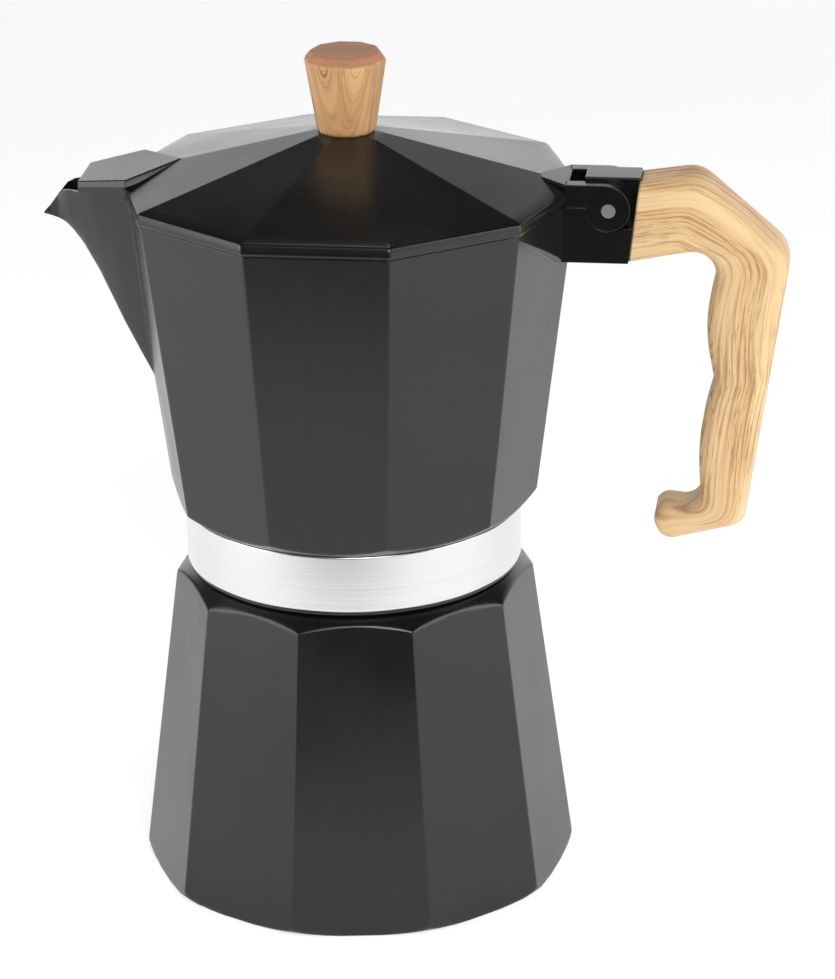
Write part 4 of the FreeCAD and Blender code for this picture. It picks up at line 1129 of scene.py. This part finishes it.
    def build_knob(self) -> None:
        """Build the knob, its grain map running up and round it."""
        path = spread(rounded([
            (self.screw_bore, self.knob_foot[1], 0), (*self.knob_foot, 0.35), (*self.knob_brow, 0.5),
            (*self.knob_crown, 0.7), (0.0, self.knob_crown[1], 0)]), 0.8)
        shell = Shell(directions(self.knob_sides, 0.0))
        shape = facet_shape(shell.angle, self.knob_sides, 0.0, 90.0)
        mix = np.clip((path[:, :1] - 2.0) / 3.0, 0, 1)
        shell.add(path[:, :1] * (1 + mix * (shape - 1)), path[:, 1:])
        turn = np.append(shell.angle, 2 * math.pi + shell.angle[0])
        length = travel(path)[:, None] + 0 * turn
        slant = 0.45 * np.sin(3 * turn + 1.6)
        grain = np.stack([length, turn * self.knob_wrap + slant * length], axis=-1)
        flat = np.stack([path[:, :1] * np.cos(turn) * 0.5 + 30.0, path[:, :1] * np.sin(turn) + 60.0], axis=-1)
        crown = path[:, 1] > self.knob_brow[1] + 0.6
        knob = shell.join("knob_body", np.where(crown[:, None, None], flat, grain))
        dress(soften(knob), Finish.KNOB, "lid_assembly", "knob_print", "lid_knob")

    def build(self) -> None:
        """Build and dress every piece of the lid."""
        self.build_roof()
        self.build_cover()
        self.build_fork()
        self.build_painted_shadow()
        self.build_knob()


# handle


@dataclass
class Handle:
    """Bar handle swept between an outer and an inner rail."""

    half: float = 7.75
    tip_draw: float = 2.6
    round_radius: float = 3.8
    outer: tuple = ((68.7, 174.4, 0), (82.34, 176.46, 7.0), (103.8, 157.76, 8.0), (93.8, 90.96, 4.0),
                    (75.2, 85.96, 3.2), (72.78, 90.96, 0))
    inner: tuple = ((66.22, 155.0, 0), (88.2, 159.36, 5.2), (83.6, 140.96, 40.0), (86.3, 126.66, 1.5),
                    (82.6, 112.96, 55.0), (83.6, 93.36, 4.5), (70.35, 95.96, 2.9), (72.78, 90.96, 0))
    # points between the corners that match corners of the other rail
    outer_between: tuple = ((101.4, 141.6), (99.3, 127.6), (97.1, 113.6))
    inner_between: tuple = ((77.0, 157.1),)
    stations: tuple = (22, 30, 34, 26, 26, 34, 28, 26)

    def rail(self, corners: tuple, at: int, between: tuple) -> Array:
        """Sample a rail so that matching keys fall at matching stations.

        Args:
            corners: Corners of the rail with their radii.
            at: How many corners come before the points between.
            between: Keys that are no corners.

        Returns:
            Stations by 2.
        """
        path = spread(rounded(list(corners), steps=14), 0.4)
        keys = [corner[:2] for corner in corners]
        keys[at:at] = between
        length = travel(path)
        marks = [length[np.argmin(np.hypot(*(path - np.array(key)).T))] for key in keys]
        marks[0], marks[-1] = 0.0, length[-1]
        places = [np.linspace(marks[k], marks[k + 1], count, endpoint=False)
                  for k, count in enumerate(self.stations)]
        return pick(path, np.concatenate(places + [[marks[-1]]]))

    def build(self) -> None:
        """Sweep a rounded rectangle between the rails and close both ends.

        Each section is centred between the rails, as high as they are
        apart; its corners are quarter circles, and the width draws in
        round the hooked end.
        """
        outer = self.rail(self.outer, 3, self.outer_between)
        inner = self.rail(self.inner, 1, self.inner_between)
        middle = (outer + inner) / 2
        tall = np.linalg.norm(outer - inner, axis=1) / 2
        up = (outer - inner) / np.maximum(2 * tall, TINY)[:, None]
        up[-1] = up[-2]
        last = sum(self.stations[:-1])
        draw = np.clip((np.arange(len(middle)) - (last - 10)) / (self.stations[-1] + 10), 0, 1)
        half = self.half - self.tip_draw * (1 - np.sqrt(1 - draw ** 2 * 0.999))
        radius = np.minimum(self.round_radius, np.minimum(tall, half) * 0.96)
        quarter, flat = np.linspace(0, math.pi / 2, 8), np.linspace(0, 1, 7)[1:-1]
        ring = ((1, 1), (-1, 1), (-1, -1), (1, -1))
        side, sway, turn = [], [], []
        for index, (sx, sy) in enumerate(ring):
            nx, ny = ring[(index + 1) % 4]
            turn += [quarter + index * math.pi / 2, np.full(5, (index + 1) * math.pi / 2)]
            side += [np.full(8, sx), sx + (nx - sx) * flat]
            sway += [np.full(8, sy), sy + (ny - sy) * flat]
        side, sway, turn = (np.concatenate(part) for part in (side, sway, turn))
        reach = side * (tall - radius)[:, None] + radius[:, None] * np.cos(turn)
        width = sway * (half - radius)[:, None] + radius[:, None] * np.sin(turn)
        points = np.stack([middle[:, :1] + up[:, :1] * reach, width,
                           middle[:, 1:] + up[:, 1:] * reach], axis=-1)
        start = points[:1].mean(axis=1, keepdims=True) + 0 * points[:1]
        across = reach + 0.45 * width
        across = np.concatenate([across[:1], across])
        across = np.concatenate([across, across[:, :1]], axis=1)
        along = np.append(-3.0, travel(middle))[:, None] + 0 * across
        handle = grid("handle_bar", np.concatenate([start, points]), np.stack([along, across], axis=-1))
        dress(soften(handle), Finish.HANDLE, "upper_assembly", "handle_print", "handle")


# inner parts


@dataclass
class Fittings:
    """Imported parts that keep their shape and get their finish."""

    finishes: dict = field(default_factory=lambda: {
        "valve_body": Finish.BRASS, "valve_retainer": Finish.BRASS, "valve_stem": Finish.BRASS,
        "valve_spring": Finish.STEEL, "valve_washer": Finish.FIBRE, "coffee_funnel": Finish.BARE,
        "funnel_plate": Finish.BARE, "filter_plate": Finish.BARE, "gasket": Finish.RUBBER,
        "hinge_pin": Finish.STEEL, "handle_screw": Finish.STEEL, "knob_washer": Finish.STEEL,
        "knob_screw": Finish.STEEL})

    def build(self) -> None:
        """Dress each part."""
        for node, finish in self.finishes.items():
            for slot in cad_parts[node].material_slots:
                slot.material = finish.material()
            LOG.info("%s: keeps its shape, %s", node, finish.value.name)


# studio


@dataclass
class Room:
    """Pale floor, soft lights and the camera."""

    azimuth: float = math.radians(7.449)
    elevation: float = math.radians(21.385)
    roll: float = math.radians(-0.814)
    distance: float = 1.0205
    aim_right: float = 0.01532
    aim_up: float = 0.0939
    lens: float = 156.42
    floor_half: float = 4.0
    card_near: float = 0.29
    card_far: float = 3.0
    card_half: float = 0.32
    world: Colour = (0.05, 0.05, 0.05)
    # name, place, aim, width, height, power
    lights: tuple = (
        ("left_box", (-1.25, -0.60, 0.42), (0.0, 0.0, 0.10), 0.8, 0.84, 8.0),
        ("right_box", (1.38, -0.22, 0.42), (0.0, 0.0, 0.10), 0.8, 0.84, 7.0),
        ("left_table", (-0.62, -0.15, 0.42), (-0.62, -0.15, 0.0), 0.5, 0.5, 1.4),
        ("right_table", (0.62, -0.05, 0.42), (0.62, -0.05, 0.0), 0.5, 0.5, 1.2),
        ("top_box", (0.0, 0.35, 1.45), (0.0, 0.0, 0.10), 0.4, 0.4, 2.0),
        ("back_wall", (0.0, 1.9, 0.50), (0.0, 0.0, 0.12), 3.6, 1.0, 16.0),
        ("front_key", (0.45, -1.45, 1.05), (0.0, 0.0, 0.12), 0.9, 0.7, 17.0),
    )

    def build_floor(self) -> None:
        """Lay the floor, and a dark card that only reflections see."""
        half = self.floor_half
        floor = self.lay("studio_floor", (half, -half, half), (-20.0, -0.05), Studio())
        card = self.lay("black_card", (self.card_half, -self.card_far, -self.card_near), (0.0, 2.0),
                        Studio("black_card", (0.03, 0.03, 0.03), (0.025, 0.025, 0.025), 0.0))
        card.visible_camera = card.visible_diffuse = card.visible_shadow = False

    def lay(self, name: str, plan: tuple, heights: tuple, paint: Studio) -> bpy.types.Object:
        """Lay a flat slab.

        Args:
            name: Name of the slab.
            plan: Half width, front edge and back edge in metres.
            heights: Underside and top in millimetres.
            paint: Its paint.

        Returns:
            The new object.
        """
        half, front, back = plan
        ring = np.array([[-half, front], [half, front], [half, back], [-half, back]]) / MM
        made = prism(name, *(level(ring, height) for height in heights))
        made.data.materials.append(paint.make())
        return made

    def build_lights(self) -> None:
        """Hang the soft boxes and set the surroundings."""
        for name, place, aim, width, height, power in self.lights:
            lamp = bpy.data.lights.new(name, "AREA")
            lamp.shape = "RECTANGLE"
            lamp.size, lamp.size_y, lamp.energy = width, height, power
            hung = bpy.data.objects.new(name, lamp)
            hung.location = place
            hung.rotation_euler = (Vector(aim) - Vector(place)).to_track_quat("-Z", "Y").to_euler()
            hung.visible_camera = False
            bpy.context.scene.collection.objects.link(hung)
        world = bpy.data.worlds.new("surroundings")
        world.use_nodes = True
        world.node_tree.nodes["Background"].inputs["Color"].default_value = (*self.world, 1.0)
        bpy.context.scene.world = world
        bpy.context.scene.view_settings.view_transform = "Standard"

    def build_camera(self) -> None:
        """Set the camera at the viewing angle.

        It looks along minus the back vector at a point beside the axis,
        and is then rolled about its own line of sight.
        """
        a, e, r = self.azimuth, self.elevation, self.roll
        right = Vector((math.cos(a), math.sin(a), 0.0))
        back = Vector((math.sin(a) * math.cos(e), -math.cos(a) * math.cos(e), math.sin(e)))
        up = back.cross(right)
        aim = right * self.aim_right + Vector((0.0, 0.0, self.aim_up))
        rolled_right = right * math.cos(r) + up * math.sin(r)
        rolled_up = up * math.cos(r) - right * math.sin(r)
        turn = Matrix((rolled_right, rolled_up, back)).transposed()
        data = bpy.data.cameras.new("camera")
        data.sensor_width = 36.0
        data.lens = self.lens
        data.clip_start, data.clip_end = 0.05, 20.0
        camera = bpy.data.objects.new("camera", data)
        camera.matrix_world = Matrix.Translation(aim + back * self.distance) @ turn.to_4x4()
        bpy.context.scene.collection.objects.link(camera)
        bpy.context.scene.camera = camera

    def build(self) -> None:
        """Build the whole studio."""
        self.build_floor()
        self.build_lights()
        self.build_camera()


def main() -> None:
    """Build every sub-assembly in order, then the studio."""
    logging.basicConfig(level=logging.INFO, format="%(name)s: %(message)s")
    for part in (Boiler(), UpperVessel(), Handle(), Lid(), Fittings(), Room()):
        LOG.info("building %s", type(part).__name__)
        part.build()


if __name__ == "__main__":
    main()
